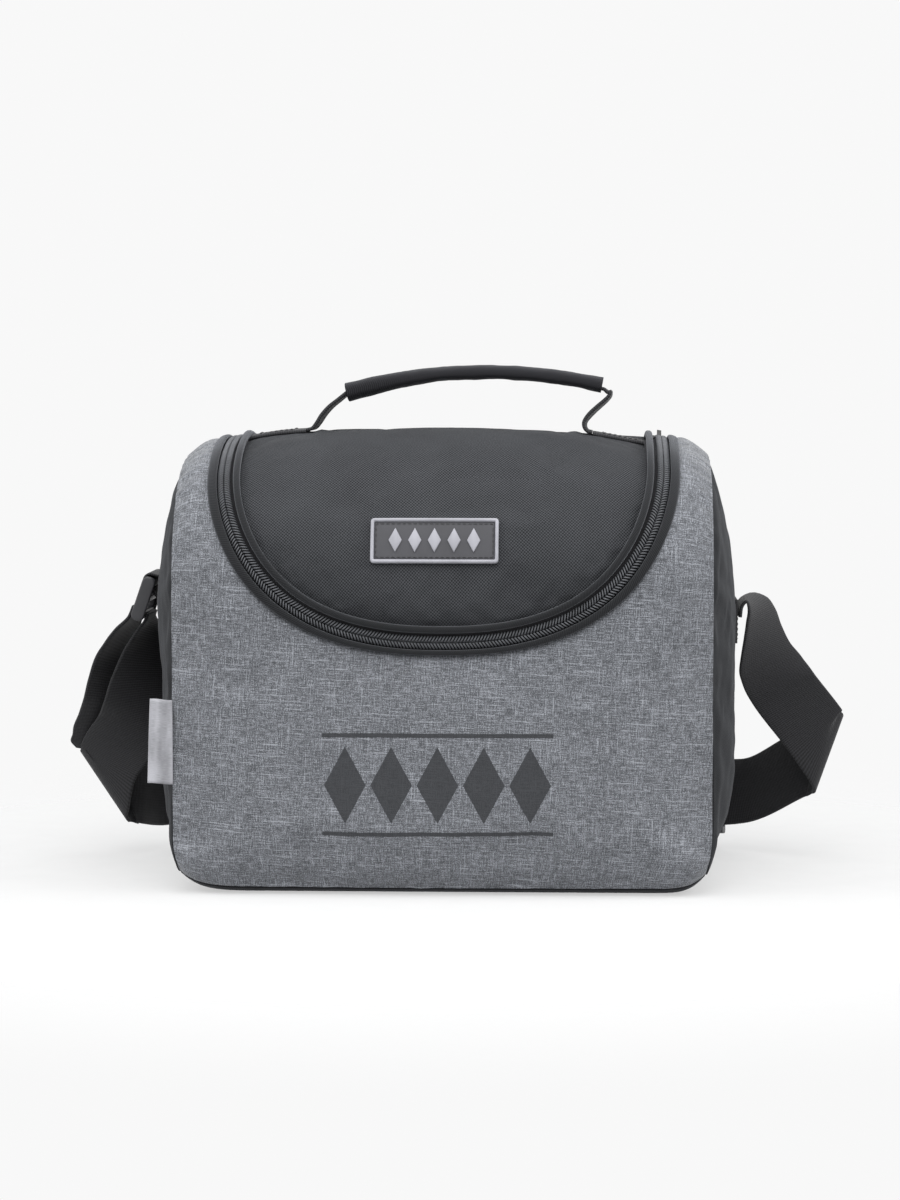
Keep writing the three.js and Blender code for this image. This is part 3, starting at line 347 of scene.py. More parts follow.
def settle(points, held, pressure, growth, cap, wrap=False):
    """Cloth simulation of a padded cover held at its seams, on every second row and column of its grid.

    The points are a grid, rows by columns by 3, in millimetres, and none moves further than the cap.
    """
    whole = points[:, :-1] if wrap else points
    coarse, pinned = whole[::2, ::2], held[::2, ::2]
    rows, cols = coarse.shape[:2]
    faces = grid_faces(rows, cols)
    if wrap:
        r = np.arange(rows - 1) * cols
        faces = np.concatenate([faces, np.stack([r + cols - 1, r, r + cols, r + 2 * cols - 1], -1)])
    a, b, c = (coarse.reshape(-1, 3)[faces[:, k]] for k in (0, 1, 3))
    out = a - np.array([0, 0, SIDE_MIDDLE_Z])
    if (np.cross(b - a, c - a) * out).sum() < 0:
        faces = faces[:, ::-1]
    obj = mesh_object("settling", coarse.reshape(-1, 3), faces)
    obj.vertex_groups.new(name="held").add(np.flatnonzero(pinned.ravel()).tolist(), 1.0, "REPLACE")
    modifier = obj.modifiers.new("cloth", "CLOTH")
    cloth = modifier.settings
    cloth.vertex_group_mass = "held"
    cloth.quality = 5
    cloth.mass = 0.3
    cloth.tension_stiffness = cloth.compression_stiffness = 15
    cloth.shear_stiffness = 5
    cloth.bending_stiffness = 0.3
    cloth.shrink_min = -growth
    cloth.use_pressure = True
    cloth.uniform_pressure_force = pressure
    cloth.effector_weights.gravity = 0
    modifier.point_cache.frame_end = CLOTH_STEPS
    for step in range(1, CLOTH_STEPS + 1):
        bpy.context.scene.frame_set(step)
    settled = obj.evaluated_get(bpy.context.evaluated_depsgraph_get()).to_mesh()
    after = np.zeros(rows * cols * 3)
    settled.vertices.foreach_get("co", after)
    bpy.context.scene.frame_set(1)
    bpy.data.objects.remove(obj, do_unlink=True)
    move = after.reshape(rows, cols, 3) / MM - coarse
    size = np.maximum(np.linalg.norm(move, axis=-1, keepdims=True), 1e-6)
    move = finer(move * cap * np.tanh(size / cap) / size)
    move = np.swapaxes(finer(np.swapaxes(move, 0, 1), wrap), 0, 1)
    if wrap:
        move = np.concatenate([move, move[:, :1]], 1)
    return points + move


def finish_piece(obj, body, *nodes, slot=None, fill=None):
    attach(obj, body)
    if nodes:
        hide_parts(*nodes)
    return obj


def wall_shell(name, body, node, grid, depths, material, slot, fill=None):
    """Shell that follows the wall at the (x, s) grid, between two depths."""
    x, s = grid
    skins = [wall(x, s, depth) for depth in depths]
    obj = shell_object(name, *skins, np.stack([x, s], -1), material)
    return finish_piece(obj, body, node, slot=slot, fill=fill)


# ---- materials ----

# A wave texture at scale 1 repeats at this distance
WAVE = 0.314


class Tree:
    """Short ways to add nodes to a material or the world."""

    def __init__(self, owner):
        self.owner = owner
        owner.use_nodes = True
        self.nodes = owner.node_tree.nodes
        self.links = owner.node_tree.links

    def fill(self, node, inputs):
        for key, value in dict(inputs).items():
            if isinstance(value, bpy.types.NodeSocket):
                self.links.new(value, node.inputs[key])
            else:
                node.inputs[key].default_value = value

    def add(self, kind, inputs=(), output=0, **settings):
        made = self.nodes.new("ShaderNode" + kind)
        for key, value in settings.items():
            setattr(made, key, value)
        self.fill(made, inputs)
        return made.outputs[output]

    def math(self, operation, a, b=0.0, c=0.0, clamp=False):
        return self.add("Math", {0: a, 1: b, 2: c}, operation=operation, use_clamp=clamp)

    def away(self, value, middle):
        return self.math("ABSOLUTE", self.math("SUBTRACT", value, middle))

    def blend(self, a, share_a, b, share_b):
        return self.math("MULTIPLY_ADD", a, share_a, self.math("MULTIPLY", b, share_b))

    def vary(self, total, value, gain):
        """The total, raised and lowered by a value that swings about a half."""
        return self.math("MULTIPLY_ADD", self.math("SUBTRACT", value, 0.5), gain, total)

    def uv(self):
        return self.add("UVMap", uv_map="cloth")

    def turned(self, vector, angle):
        return self.add("Mapping", {0: vector, "Rotation": (0, 0, angle)})

    def noise(self, vector, scale, detail, rough, dimensions):
        settings = {"Vector": vector, "Scale": scale, "Detail": detail, "Roughness": rough}
        return self.add("TexNoise", settings, noise_dimensions=dimensions)

    def threads(self, uv, x, y, detail=2.0, rough=0.5):
        """Noise on the cloth, x across and y up to the metre."""
        return self.noise(self.add("Mapping", {0: uv, "Scale": (x, y, 1)}), 1.0, detail, rough, "2D")

    def grain(self, scale, detail=2.0):
        """Noise through the object, scale to the metre."""
        return self.noise(self.add("TexCoord", output="Object"), scale, detail, 0.5, "3D")

    def wave(self, uv, scale, direction="X", **inputs):
        settings = {key.replace("_", " "): value for key, value in inputs.items()}
        return self.add("TexWave", {"Vector": uv, "Scale": scale, **settings}, output=1, bands_direction=direction)

    def ramp(self, value, *stops):
        made = self.nodes.new("ShaderNodeValToRGB")
        self.links.new(value, made.inputs[0])
        elements = made.color_ramp.elements
        while len(elements) < len(stops):
            elements.new(0.5)
        for element, (at, colour) in zip(elements, stops):
            element.position = at
            element.color = (*colour, 1)
        return made.outputs[0]

    def bump(self, height, strength, distance):
        return self.add("Bump", {"Height": height, "Strength": strength, "Distance": distance * MM})

    def shade(self, **inputs):
        """Set the shader's inputs, and give back the material."""
        self.fill(self.nodes["Principled BSDF"], {key.replace("_", " "): value for key, value in inputs.items()})
        return self.owner


def new_material(name):
    return Tree(bpy.data.materials.new(name))


def grey(value, blue=1.0):
    return (value, value, value * blue)


def tinted(value):
    """Grey with the slight blue of the cloth."""
    return (value * 0.96, value, value * 1.09)


def print_mask(t, uv):
    """1 on the printed band of the front: a row of plain lozenges between two thin lines."""
    across = t.add("SeparateXYZ", {0: uv})
    up = across.node.outputs[1]
    pitch = PRINT_WIDTH / PRINT_LOZENGES
    fray = t.math("MULTIPLY", t.math("SUBTRACT", t.threads(uv, 1500, 1500), 0.5), 0.05)
    level = t.away(up, PRINT_S * MM)
    inside = t.math("LESS_THAN", t.away(across, PRINT_X * MM), PRINT_WIDTH / 2 * MM)
    share = t.math("MULTIPLY_ADD", across, 1 / MM / pitch, 0.5 - PRINT_X / pitch)
    side = t.math("MULTIPLY", t.away(t.math("FRACT", share), 0.5), 2 / LOZENGE_SHARE)
    tall = t.math("MULTIPLY", level, 2 / MM / LOZENGE_HEIGHT)
    lozenge = t.math("LESS_THAN", t.math("ADD", t.math("ADD", side, tall), fray), 1.0)
    line = t.math("MULTIPLY_ADD", fray, 0.01, t.away(level, PRINT_LINE_AT * MM))
    line = t.math("LESS_THAN", line, PRINT_LINE / 2 * MM)
    return t.math("MULTIPLY", t.math("MAXIMUM", lozenge, line), inside)


def melange_material():
    """Plain weave of light and dark heathered yarns: fine streaks across and up, and a few long pale ones."""
    t = new_material("melange_cloth")
    uv = t.turned(t.uv(), 0.05)
    total = t.blend(t.threads(uv, 240, 2200), 0.53, t.threads(uv, 2200, 260), 0.47)
    total = t.vary(total, t.threads(uv, 2100, 2100, 1), 0.70)
    total = t.vary(total, t.threads(uv, 55, 90), 0.09)
    for x, y, least, gain in ((45, 1500, 0.62, 1.3), (1500, 55, 0.63, 1.0)):
        pale = t.math("SUBTRACT", t.threads(uv, x, y, 1), least, clamp=True)
        total = t.math("MULTIPLY_ADD", pale, gain, total)
    cloth = t.ramp(
        total, (0.32, tinted(0.095)), (0.44, tinted(0.150)), (0.51, tinted(0.195)),
        (0.60, tinted(0.262)), (0.78, tinted(0.430)),
    )
    ink = t.ramp(total, (0.35, tinted(0.050)), (0.65, tinted(0.072)))
    printed = print_mask(t, t.uv())
    weave = t.math("MULTIPLY", t.wave(uv, 350.0), t.wave(uv, 350.0, "Y"))
    return t.shade(
        Base_Color=t.add("Mix", {0: printed, 6: cloth, 7: ink}, output=2, data_type="RGBA"),
        Roughness=t.math("MULTIPLY_ADD", printed, -0.25, 0.92),
        Normal=t.bump(t.math("MULTIPLY_ADD", weave, 0.35, total), 0.45, 0.25),
        Specular_IOR_Level=0.15, Sheen_Weight=0.5, Sheen_Roughness=0.4,
    )


def twill_material(name, dark, light, pitch=0.8, turn=0.62, sheen=0.1, strength=0.5, crossing=0.0):
    """Plain dark cloth with a fine diagonal weave that follows the cloth's uv."""
    t = new_material(name)
    uv = t.uv()
    first, second = (
        t.wave(t.turned(uv, angle), WAVE / (pitch * MM), Distortion=1.0, Detail=1.0, Detail_Scale=1.5)
        for angle in (turn, turn - math.pi / 2)
    )
    mixed = t.blend(t.blend(second, crossing, first, 1 - crossing), 0.6, t.threads(uv, 1500, 1500, 3, 0.6), 0.40)
    mixed = t.vary(mixed, t.threads(uv, 40, 40), 0.14)
    return t.shade(
        Base_Color=t.ramp(mixed, (0.25, dark), (0.78, light)), Roughness=0.85,
        Normal=t.bump(mixed, strength, 0.25), Specular_IOR_Level=0.18,
        Sheen_Weight=sheen, Sheen_Roughness=0.45, Sheen_Tint=(0.9, 0.93, 1.0, 1.0),
    )


def webbing_material(name, dark, light, along):
    """Woven strap: fine ribs across, each broken into two rows of picks."""
    t = new_material(name)
    uv = t.uv()
    ribs = t.wave(uv, WAVE / (along * MM), Distortion=0.4, Detail_Scale=3.0)
    rest = t.blend(t.wave(uv, WAVE / (1.3 * MM), "Y"), 0.15, t.threads(uv, 1800, 900, 3), 0.35)
    mixed = t.math("MULTIPLY_ADD", ribs, 0.55, rest)
    return t.shade(
        Base_Color=t.ramp(mixed, (0.2, dark), (0.8, light)), Roughness=0.72, Normal=t.bump(mixed, 0.6, 0.28),
        Specular_IOR_Level=0.35, Sheen_Weight=0.15, Sheen_Roughness=0.4,
    )


def plastic_material(name, colour, rough, grain=0.15):
    t = new_material(name)
    spots = t.grain(2600)
    return t.shade(
        Base_Color=t.ramp(t.grain(90), (0.3, colour), (0.7, tuple(c * 1.25 for c in colour))),
        Roughness=t.math("MULTIPLY_ADD", spots, 0.16, rough - 0.08), Normal=t.bump(spots, grain, 0.05),
    )


def foam_material():
    t = new_material("foam_cells")
    cells = t.add("TexVoronoi", {"Vector": t.add("TexCoord", output="Object"), "Scale": 1400.0})
    colour = t.ramp(cells, (0.0, grey(0.55)), (0.6, grey(0.8)))
    return t.shade(Base_Color=colour, Roughness=0.95, Normal=t.bump(cells, 0.5, 0.3))


def foil_material():
    t = new_material("foil_lining")
    uv = t.uv()
    crease = t.threads(uv, 90, 90, 5, 0.62)
    height = t.blend(crease, 1.0, t.threads(uv, 2500, 2500), 0.08)
    return t.shade(
        Base_Color=t.ramp(crease, (0.3, grey(0.50, 1.03)), (0.7, grey(0.68, 1.03))), Metallic=0.65,
        Roughness=t.math("MULTIPLY_ADD", crease, 0.2, 0.24), Normal=t.bump(height, 0.35, 1.4),
    )


def satin_material():
    t = new_material("satin_label")
    uv = t.uv()
    threads = t.threads(uv, 400, 5000)
    mixed = t.blend(threads, 0.3, t.threads(uv, 150, 40), 0.7)
    return t.shade(
        Base_Color=t.ramp(mixed, (0.32, grey(0.30, 1.07)), (0.62, grey(0.60, 1.07))), Roughness=0.5,
        Normal=t.bump(threads, 0.3, 0.08), Sheen_Weight=0.3, Sheen_Roughness=0.3,
    )


def metal_material():
    t = new_material("dark_nickel")
    wear = t.grain(700, 4)
    return t.shade(
        Base_Color=t.ramp(wear, (0.35, grey(0.035)), (0.7, grey(0.075))), Metallic=0.7,
        Roughness=t.math("MULTIPLY_ADD", wear, 0.25, 0.25), Normal=t.bump(wear, 0.1, 0.05),
    )


def thread_material(name, colour):
    t = new_material(name)
    twist = t.grain(4000)
    return t.shade(
        Base_Color=t.ramp(twist, (0.3, colour), (0.7, tuple(c * 1.8 for c in colour))), Roughness=0.7,
        Normal=t.bump(twist, 0.4, 0.08), Sheen_Weight=0.2,
    )


MELANGE = melange_material()
LID_CLOTH = twill_material(
    "lid_twill", tinted(0.014), tinted(0.094), pitch=1.0, turn=0.72, sheen=0.0, strength=0.8, crossing=0.5,
)
SIDE_CLOTH = twill_material("side_twill", tinted(0.007), tinted(0.028), crossing=0.3)
BASE_CLOTH = twill_material("base_twill", grey(0.008, 1.12), grey(0.024, 1.15))
PIPE_CLOTH = twill_material("piping_cloth", tinted(0.008), tinted(0.028), pitch=0.7, sheen=0.45, strength=0.35)
GRIP_CLOTH = twill_material("grip_knit", grey(0.014, 1.12), grey(0.040, 1.14), pitch=0.9, turn=0.3)
TAPE_CLOTH = twill_material("zip_tape_cloth", grey(0.012, 1.1), grey(0.030, 1.1), pitch=0.5)
WEBBING = webbing_material("strap_webbing", grey(0.0015, 1.2), grey(0.027, 1.14), along=0.9)
HANDLE_WEBBING = webbing_material("handle_webbing_weave", grey(0.012, 1.1), grey(0.045, 1.1), along=1.1)
FOAM = foam_material()
FOIL = foil_material()
SATIN = satin_material()
COIL = plastic_material("coil_nylon", tinted(0.110), rough=0.50)
PLASTIC = plastic_material("black_acetal", grey(0.034, 1.12), rough=0.45, grain=0.3)
METAL = metal_material()
BADGE_FIELD = plastic_material("badge_rubber", grey(0.047, 1.14), rough=0.6, grain=0.35)
BADGE_RIM = plastic_material("badge_rim_rubber", grey(0.37, 1.10), rough=0.5, grain=0.25)
DARK_THREAD = thread_material("dark_thread", grey(0.018, 1.1))

# Layers inside the cloth: part, piece, inset from the zip, half width, depths, material, slot and fill
LAYERS = (
    ("foam", "padding", 9.0, 113.0, (-3.3, -6.6), (FOAM, "foam", 0.8)),
    ("liner", "lining", 6.0, 111.4, (-7.6, -8.2), (FOIL, "foil_liner")),
)

# ---- the zip line in (x, s) ----

LEG_STEPS = 7
BEND_STEPS = 24
ZIP_STEPS = 2 * LEG_STEPS + BEND_STEPS


def zip_raw(u, tail):
    """Zip line at the step numbers u: up the left leg's end, round the front and back on the right."""
    u = np.asarray(u, float)
    angle = np.pi * np.clip(u - LEG_STEPS, 0, BEND_STEPS) / BEND_STEPS
    c = np.cos(angle)
    x = -ZIP_HALF_WIDTH * np.sign(c) * np.abs(c) ** (2 / ZIP_ROUNDNESS)
    s = zip_start - ZIP_DROP * np.abs(np.sin(angle)) ** (2 / ZIP_ROUNDNESS)
    leg = np.clip(1 - np.minimum(u, ZIP_STEPS - u) / LEG_STEPS, 0, 1)
    return x, s + (hinge_line + tail - zip_start) * leg


def zip_line(away, tail, u):
    """Points at a distance away from the zip line, outwards positive."""
    x, s = zip_raw(u, tail)
    step = 1e-3
    x0, s0 = zip_raw(np.maximum(u - step, 0), tail)
    x1, s1 = zip_raw(np.minimum(u + step, ZIP_STEPS), tail)
    dx, ds = x1 - x0, s1 - s0
    length = np.hypot(dx, ds)
    return x + away * ds / length, s - away * dx / length


def even_steps(tail, count):
    """Step numbers that are evenly spaced along the zip."""
    fine = np.linspace(0, ZIP_STEPS, 6001)
    length = along_lengths(np.stack(zip_raw(fine, tail), 1))
    return np.interp(np.linspace(0, length[-1], count), length, fine), length[-1]


def zip_band(name, section, tail, material, body, node, slot="twill_fabric", pinch=0.0, fold=0.0):
    """Band along the zip, narrowed by pinch at the front and flattened by fold over the top.

    Each corner of the section is (distance outwards, offset).
    """
    u, total = even_steps(tail, 420)
    start, low = np.min(section, axis=0)
    share = 1 - pinch * np.exp(-(((u - ZIP_STEPS / 2) / 5.5) ** 2))
    rings = []
    for away, offset in section:
        x, s = zip_line(start + (away - start) * share, tail, u)
        flat = 1 - fold * smooth((s - crown_end + 30) / 22)
        rings.append(wall(x, s, low + (offset - low) * flat))
    made = sweep_object(name, np.stack(rings, 1), np.linspace(0, total, len(u)), material)
    finish_piece(made, body, node, slot=slot)


def round_section(start, width, low, high, corners=12):
    """Flattened oval: from start to start + width across, and from low to high."""
    angles = 2 * np.pi * (np.arange(corners) + 0.5) / corners
    c, d = np.cos(angles), np.sin(angles)
    across = np.sign(c) * np.abs(c) ** 0.75
    up = np.sign(d) * np.abs(d) ** 0.85
    return list(zip(start + width / 2 * (1 + across), (low + high) / 2 + (high - low) / 2 * up))


# ---- camera, lights and floor ----

# Places and sizes of the camera and the lights are in metres
VIEW_TURN = math.radians(2.3)
VIEW_REACH = 1.5
VIEW_HEIGHT = 0.232
AIM_HEIGHT = 0.100
LIGHT_AIM = 0.12
BACKGROUND = 0.94
FLOOR_HALF = 1000.0
FLOOR_Z = -0.05
# The floor fades into the background from the first to the second distance, in metres from the middle
FLOOR_FADE = {1: 0.20, 2: 0.48, 3: 0.46, 4: 0.0}


def aim_object(name, data, place, aim_z):
    """An object that looks at a point on the upright through the middle."""
    obj = link_object(name, data)
    obj.location = place
    obj.rotation_euler = (Vector((0, 0, aim_z)) - obj.location).to_track_quat("-Z", "Y").to_euler()
    return obj


def make_camera():
    data = bpy.data.cameras.new("photo_camera")
    data.lens, data.sensor_width = 97.78, 36.0
    data.shift_x, data.shift_y = 0.0019, 0.0478
    data.clip_start, data.clip_end = 0.05, 20.0
    place = (math.sin(VIEW_TURN) * VIEW_REACH, -math.cos(VIEW_TURN) * VIEW_REACH, VIEW_HEIGHT)
    bpy.context.scene.camera = aim_object("photo_camera", data, place, AIM_HEIGHT)


def make_world():
    """Soft light all round, and the plain background wherever the camera or a mirror sees past the bag."""
    world = bpy.data.worlds.new("studio")
    bpy.context.scene.world = world
    t = Tree(world)
    t.nodes.clear()
    rays = t.add("LightPath").node.outputs
    direct = t.math("MAXIMUM", rays["Is Camera Ray"], rays["Is Transmission Ray"])
    seen = t.add("Background", {0: (BACKGROUND, BACKGROUND, BACKGROUND, 1)})
    lit = t.add("Background", {0: (0.97, 0.985, 1.0, 1), 1: 0.34})
    mixed = t.add("MixShader", {0: t.math("MAXIMUM", direct, rays["Is Glossy Ray"]), 1: lit, 2: seen})
    t.links.new(mixed, t.nodes.new("ShaderNodeOutputWorld").inputs[0])


def make_floor():
    t = new_material("pale_floor")
    reach = t.add("VectorMath", {0: t.add("TexCoord", output="Object")}, output=1, operation="LENGTH")
    material = t.shade(
        Base_Color=t.ramp(t.grain(60, 3), (0.3, grey(0.90)), (0.7, grey(0.92))), Roughness=0.9,
        Alpha=t.add("MapRange", {0: reach, **FLOOR_FADE}, interpolation_type="SMOOTHSTEP"), Specular_IOR_Level=0.05,
    )
    corners = [(x * FLOOR_HALF, y * FLOOR_HALF, FLOOR_Z) for x, y in ((-1, -1), (1, -1), (1, 1), (-1, 1))]
    mesh_object("floor", corners, [(0, 1, 2, 3)], None, material)


make_camera()
make_world()
make_floor()
for name, place, aim_z, size, power in (
    ("top_softbox", (0.0, -1.1, 1.2), LIGHT_AIM, (1.3, 0.9), 9.5),
    ("front_softbox", (0.25, -1.7, 0.55), 0.1, (1.4, 1.0), 3.0),
    ("overhead_softbox", (0.0, -0.25, 1.5), LIGHT_AIM, (1.2, 0.9), 7.0),
    ("left_softbox", (-1.2, -0.4, 0.95), LIGHT_AIM, (0.9, 0.9), 7.5),
    ("right_softbox", (1.2, -0.3, 0.95), LIGHT_AIM, (0.9, 0.9), 7.8),
    ("back_softbox", (0.0, 1.5, 0.9), 0.1, (1.4, 1.0), 1.8),
):
    lamp = bpy.data.lights.new(name, "AREA")
    lamp.shape = "RECTANGLE"
    lamp.size, lamp.size_y = size
    lamp.energy = power
    aim_object(name, lamp, place, aim_z)

scene = bpy.context.scene
scene.view_settings.view_transform = "Standard"

# ---- body shells ----


def front_grid(away, side_x, low_s, rows, per_step, top_gap):
    """x and s grids between the zip line and the seams, as rows from the zip outwards."""
    u = np.linspace(0, ZIP_STEPS, ZIP_STEPS * per_step + 1)
    inside_x, inside_s = zip_line(away, -top_gap, u)
    marks = np.concatenate([
        np.linspace(hinge_line - top_gap, shoulder_start, 11)[:-1],
        np.linspace(shoulder_start, straight_start, 3)[:-1], np.linspace(straight_start, low_s, 4),
    ])
    down = len(marks) - 1
    from_end = np.minimum(u, ZIP_STEPS - u)
    sign = np.where(u < ZIP_STEPS / 2, -1.0, 1.0)
    turn = np.clip((u - down) / (ZIP_STEPS - 2 * down), 0, 1)
    outside_x = np.where(from_end <= down, sign * side_x, -side_x * np.cos(np.pi * turn))
    outside_s = np.interp(from_end, np.arange(down + 1), marks)
    t = 1 - (1 - np.linspace(0, 1, rows)[:, None]) ** 2
    return inside_x + (outside_x - inside_x) * t, inside_s + (outside_s - inside_s) * t, t


def foot_fill(x, s):
    """How much fuller the cloth is near the bottom corners than the padded body under it."""
    low = 1 - smooth((past_base(s) - 20.0) / 25.0)
    roll = edge_roll(x)
    return EDGE_DROP * (roll**2.5 - roll**6) * low * np.where(x < 0, 0.6, 1.0)


def front_relief(x, s):
    """Soft swells of the front, its full shoulders, and small gathers where it is sewn to the sides."""
    to_seam = FABRIC_X - np.abs(x)
    soft = 0.55 * ripple(x, s, 75.0, 11) + 0.16 * ripple(x, s * 1.4, 26.0, 12)
    full = SHOULDER_PUFF * np.maximum(0, 1 - ((np.abs(x) - PUFF_X) / PUFF_HALF_WIDTH) ** 2)
    pucker = 0.35 * np.exp(-to_seam / 7.0) * ripple(x * 0.2, s, 9.0, 5)
    return soft * smooth(to_seam / 14.0) + full * smooth((s - shoulder_start) / 40.0) + pucker


def front_shell():
    x, s, t = front_grid(PANEL_EDGE + 2.0, CLOTH_X, front_seam + SEAM_GAP + BASE_SHOWS, 65, 10, SEAM_GAP)
    relief = front_relief(x, s) * smooth(t * 8) - 0.9 * np.exp(-t * 60.0)
    relief = relief * smooth((s - front_seam - BASE_SHOWS) / 10.0) + foot_fill(x, s)
    outer = wall(x, s, relief)
    held = np.zeros(x.shape, bool)
    held[:3] = held[-2:] = held[:, :3] = held[:, -3:] = True
    settled = settle(outer, held, 1.2, 0.004, 2.2)
    inner = settled + wall(x, s, relief - CLOTH) - outer
    obj = shell_object("front_cloth", settled, inner, np.stack([x, s], -1), MELANGE)
    finish_piece(obj, "root", "front_panel", slot="melange_fabric", fill=0.5)


def belt_shell(name, node, side_x, low, high, depths, looks, seed=0, rough=0.0):
    """Shell over the belt of the wall from low to high, with soft swells where it is rough."""
    x, s = np.meshgrid(side_x * np.sin(np.pi / 2 * np.linspace(-1, 1, 110)), np.linspace(low, high, 90))
    calm = smooth((side_x - np.abs(x)) / 14.0) * smooth((s - low) / 12) * smooth((high - s) / 12)
    relief = rough * ripple(x, s, 60.0, seed) * calm + foot_fill(x, s)
    wall_shell(name, "root", node, (x, s), [relief + depth for depth in depths], *looks)


def side_grid(sign, inset, rings, around, depth, relief=0.0):
    """Points of a side as rings from its middle outwards, and each ring's share of the way to the rim."""
    r = np.linspace(0.0, 1.0, rings)[:, None]
    y, z, ny, nz = outline_at(girth * np.linspace(0, 1, around + 1)[None, :])
    x = HALF_WIDTH + GUSSET_BULGE * (1 - r**2.6) - depth + relief
    return body_points(sign * x, (y - ny * inset) * r, SIDE_MIDDLE_Z + (z - nz * inset - SIDE_MIDDLE_Z) * r), r


def on_patch(y, z):
    """1 under the strap's patch, falling to 0 round it."""
    return smooth(2.2 - np.hypot((y - STRAP_Y) / 18, (z - STRAP_Z) / 18))


def gusset_slack(sign, plain, r):
    """How far the side hangs inwards between its seams, more so at the foot."""
    y, z = plain[..., 1], plain[..., 2]
    slack = 0.7 if sign > 0 else 0.9 + 1.9 * smooth((130 - z) / 40)
    slack = slack + 6.5 * (1 - smooth(z / 36.0))
    return slack * smooth((1 - r) / 0.2) * (1 - on_patch(y, z)) + RIM_INSIDE * smooth((r - 0.9) / 0.1)


def gusset_relief(sign, plain, r):
    """Soft upright folds where the side slackens between its seams."""
    y, z = plain[..., 1], plain[..., 2]
    folds = 0.9 * ripple(y + 0.10 * (z - 100), z * 0.22, 34.0, 21 if sign > 0 else 22)
    soft = folds * smooth((1 - r) / 0.12) + 0.25 * ripple(y, z, 14.0, 23) * smooth((1 - r) / 0.05)
    return soft * (1 - on_patch(y, z)) - gusset_slack(sign, plain, r)


def gusset_shells(side, sign):
    size = (sign, SIDE_INSET, 61, 220)
    relief = gusset_relief(sign, *side_grid(*size, 0.0))
    outer, _ = side_grid(*size, 0.0, relief)
    inner, _ = side_grid(*size, CLOTH, relief)
    held = (np.abs(outer[..., 1] - STRAP_Y) < 18) & (np.abs(outer[..., 2] - STRAP_Z) < 20)
    held[-2:] = True
    move = np.zeros_like(outer)
    move[2:] = settle(outer[2:], held[2:], 1.0, 0.006, 2.0, wrap=True) - outer[2:]
    move[:2] = move[2].mean(0)
    outer = outer + move
    obj = shell_object(f"{side}_side_cloth", outer, inner + move, outer[..., 1:], SIDE_CLOTH, wrap=True)
    finish_piece(obj, "root", f"{side}_gusset", slot="twill_fabric", fill=0.4)
    for (part, _, _, _, _, looks), inset, depths in zip(LAYERS, (11.2, 12.0), ((3.3, 6.8), (7.6, 8.2))):
        size = (sign, inset, 30, 120)
        plain, r = side_grid(*size, 0.0)
        relief = -gusset_slack(sign, plain, r) - 0.6 * smooth((1 - r) / 0.2)
        skins = [side_grid(*size, depth, relief)[0] for depth in depths]
        made = shell_object(f"{side}_side_{part}", *skins, skins[0][..., 1:], looks[0], wrap=True)
        finish_piece(made, "root", f"{side}_{part}", slot=looks[1], fill=0.8 if part == "foam" else None)


def make_body():
    front_shell()
    back, low = (hinge_line, back_seam - SEAM_GAP), front_seam - SEAM_GAP
    belt_shell("back_cloth", "back_panel", CLOTH_X, back[0] + SEAM_GAP, back[1], (0, -CLOTH),
               (SIDE_CLOTH, "twill_fabric", 0.5), 31, 0.6)
    belt_shell("base_cloth", "base_panel", CLOTH_X, -low, low + BASE_SHOWS, (0, -CLOTH),
               (BASE_CLOTH, "twill_fabric"))
    for part, piece, inset, side_x, depths, looks in LAYERS:
        grid = front_grid(inset, side_x, front_seam + SEAM_GAP, 40, 5, 4)[:2]
        wall_shell(f"front_{piece}", "root", f"front_{part}", grid, depths, *looks)
    for part, _, _, side_x, depths, looks in LAYERS:
        belt_shell(f"back_{part}_layer", f"back_{part}", side_x, back[0] + 4, back[1], depths, looks)
        belt_shell(f"base_{part}_layer", f"base_{part}", side_x, -low, low, depths, looks)
    for side, sign in (("left", -1), ("right", 1)):
        gusset_shells(side, sign)


# ---- lid ----


def lid_grid(inset, back_gap, rows, cols):
    across = np.sin(np.pi / 2 * np.linspace(-1, 1, cols))
    bend = np.maximum(0, 1 - np.abs(across) ** ZIP_ROUNDNESS) ** (1 / ZIP_ROUNDNESS)
    low = zip_start - (ZIP_DROP - inset) * bend
    s = low + (hinge_line - back_gap - low) * np.linspace(0, 1, rows)[:, None]
    return np.broadcast_to((ZIP_HALF_WIDTH - inset) * across, s.shape), s


def lid_inside(x, s):
    """Rough distance inwards from the lid's edge."""
    across = np.clip(np.abs(x) / ZIP_HALF_WIDTH, 0, 1)
    down = np.clip((zip_start - s) / ZIP_DROP, 0, 1)
    level = (across**ZIP_ROUNDNESS + down**ZIP_ROUNDNESS) ** (1 / ZIP_ROUNDNESS)
    reach = (ZIP_HALF_WIDTH * across + ZIP_DROP * down) / np.maximum(across + down, 1e-6)
    return np.maximum(0, (1 - level) * np.where(down > 0, reach, ZIP_HALF_WIDTH)) - PANEL_EDGE


def lid_sag(x, s):
    """How far the lid hangs slack beside the right end of the handle."""
    return LID_SAG * smooth((x - 56.0) / 30.0) * smooth(lid_inside(x, s) / 4.0) * smooth((s - zip_start) / 40.0)


def lid_relief(x, s):
    """Relief of the lid: drawn down and gathered at its edge, soft in the middle, and slack on the right."""
    away = lid_inside(x, s)
    puff = -3.6 * np.exp(-np.maximum(0, away) / 8.0)
    gathers = 0.6 * np.exp(-np.maximum(0, away) / 5.0) * ripple(x * 0.6, s, 5.0, 41)
    soft = 0.5 * ripple(x, s, 70.0, 42) * smooth(away / 20)
    return (puff + gathers + soft - lid_sag(x, s)) * smooth((hinge_line - s) / 14.0)


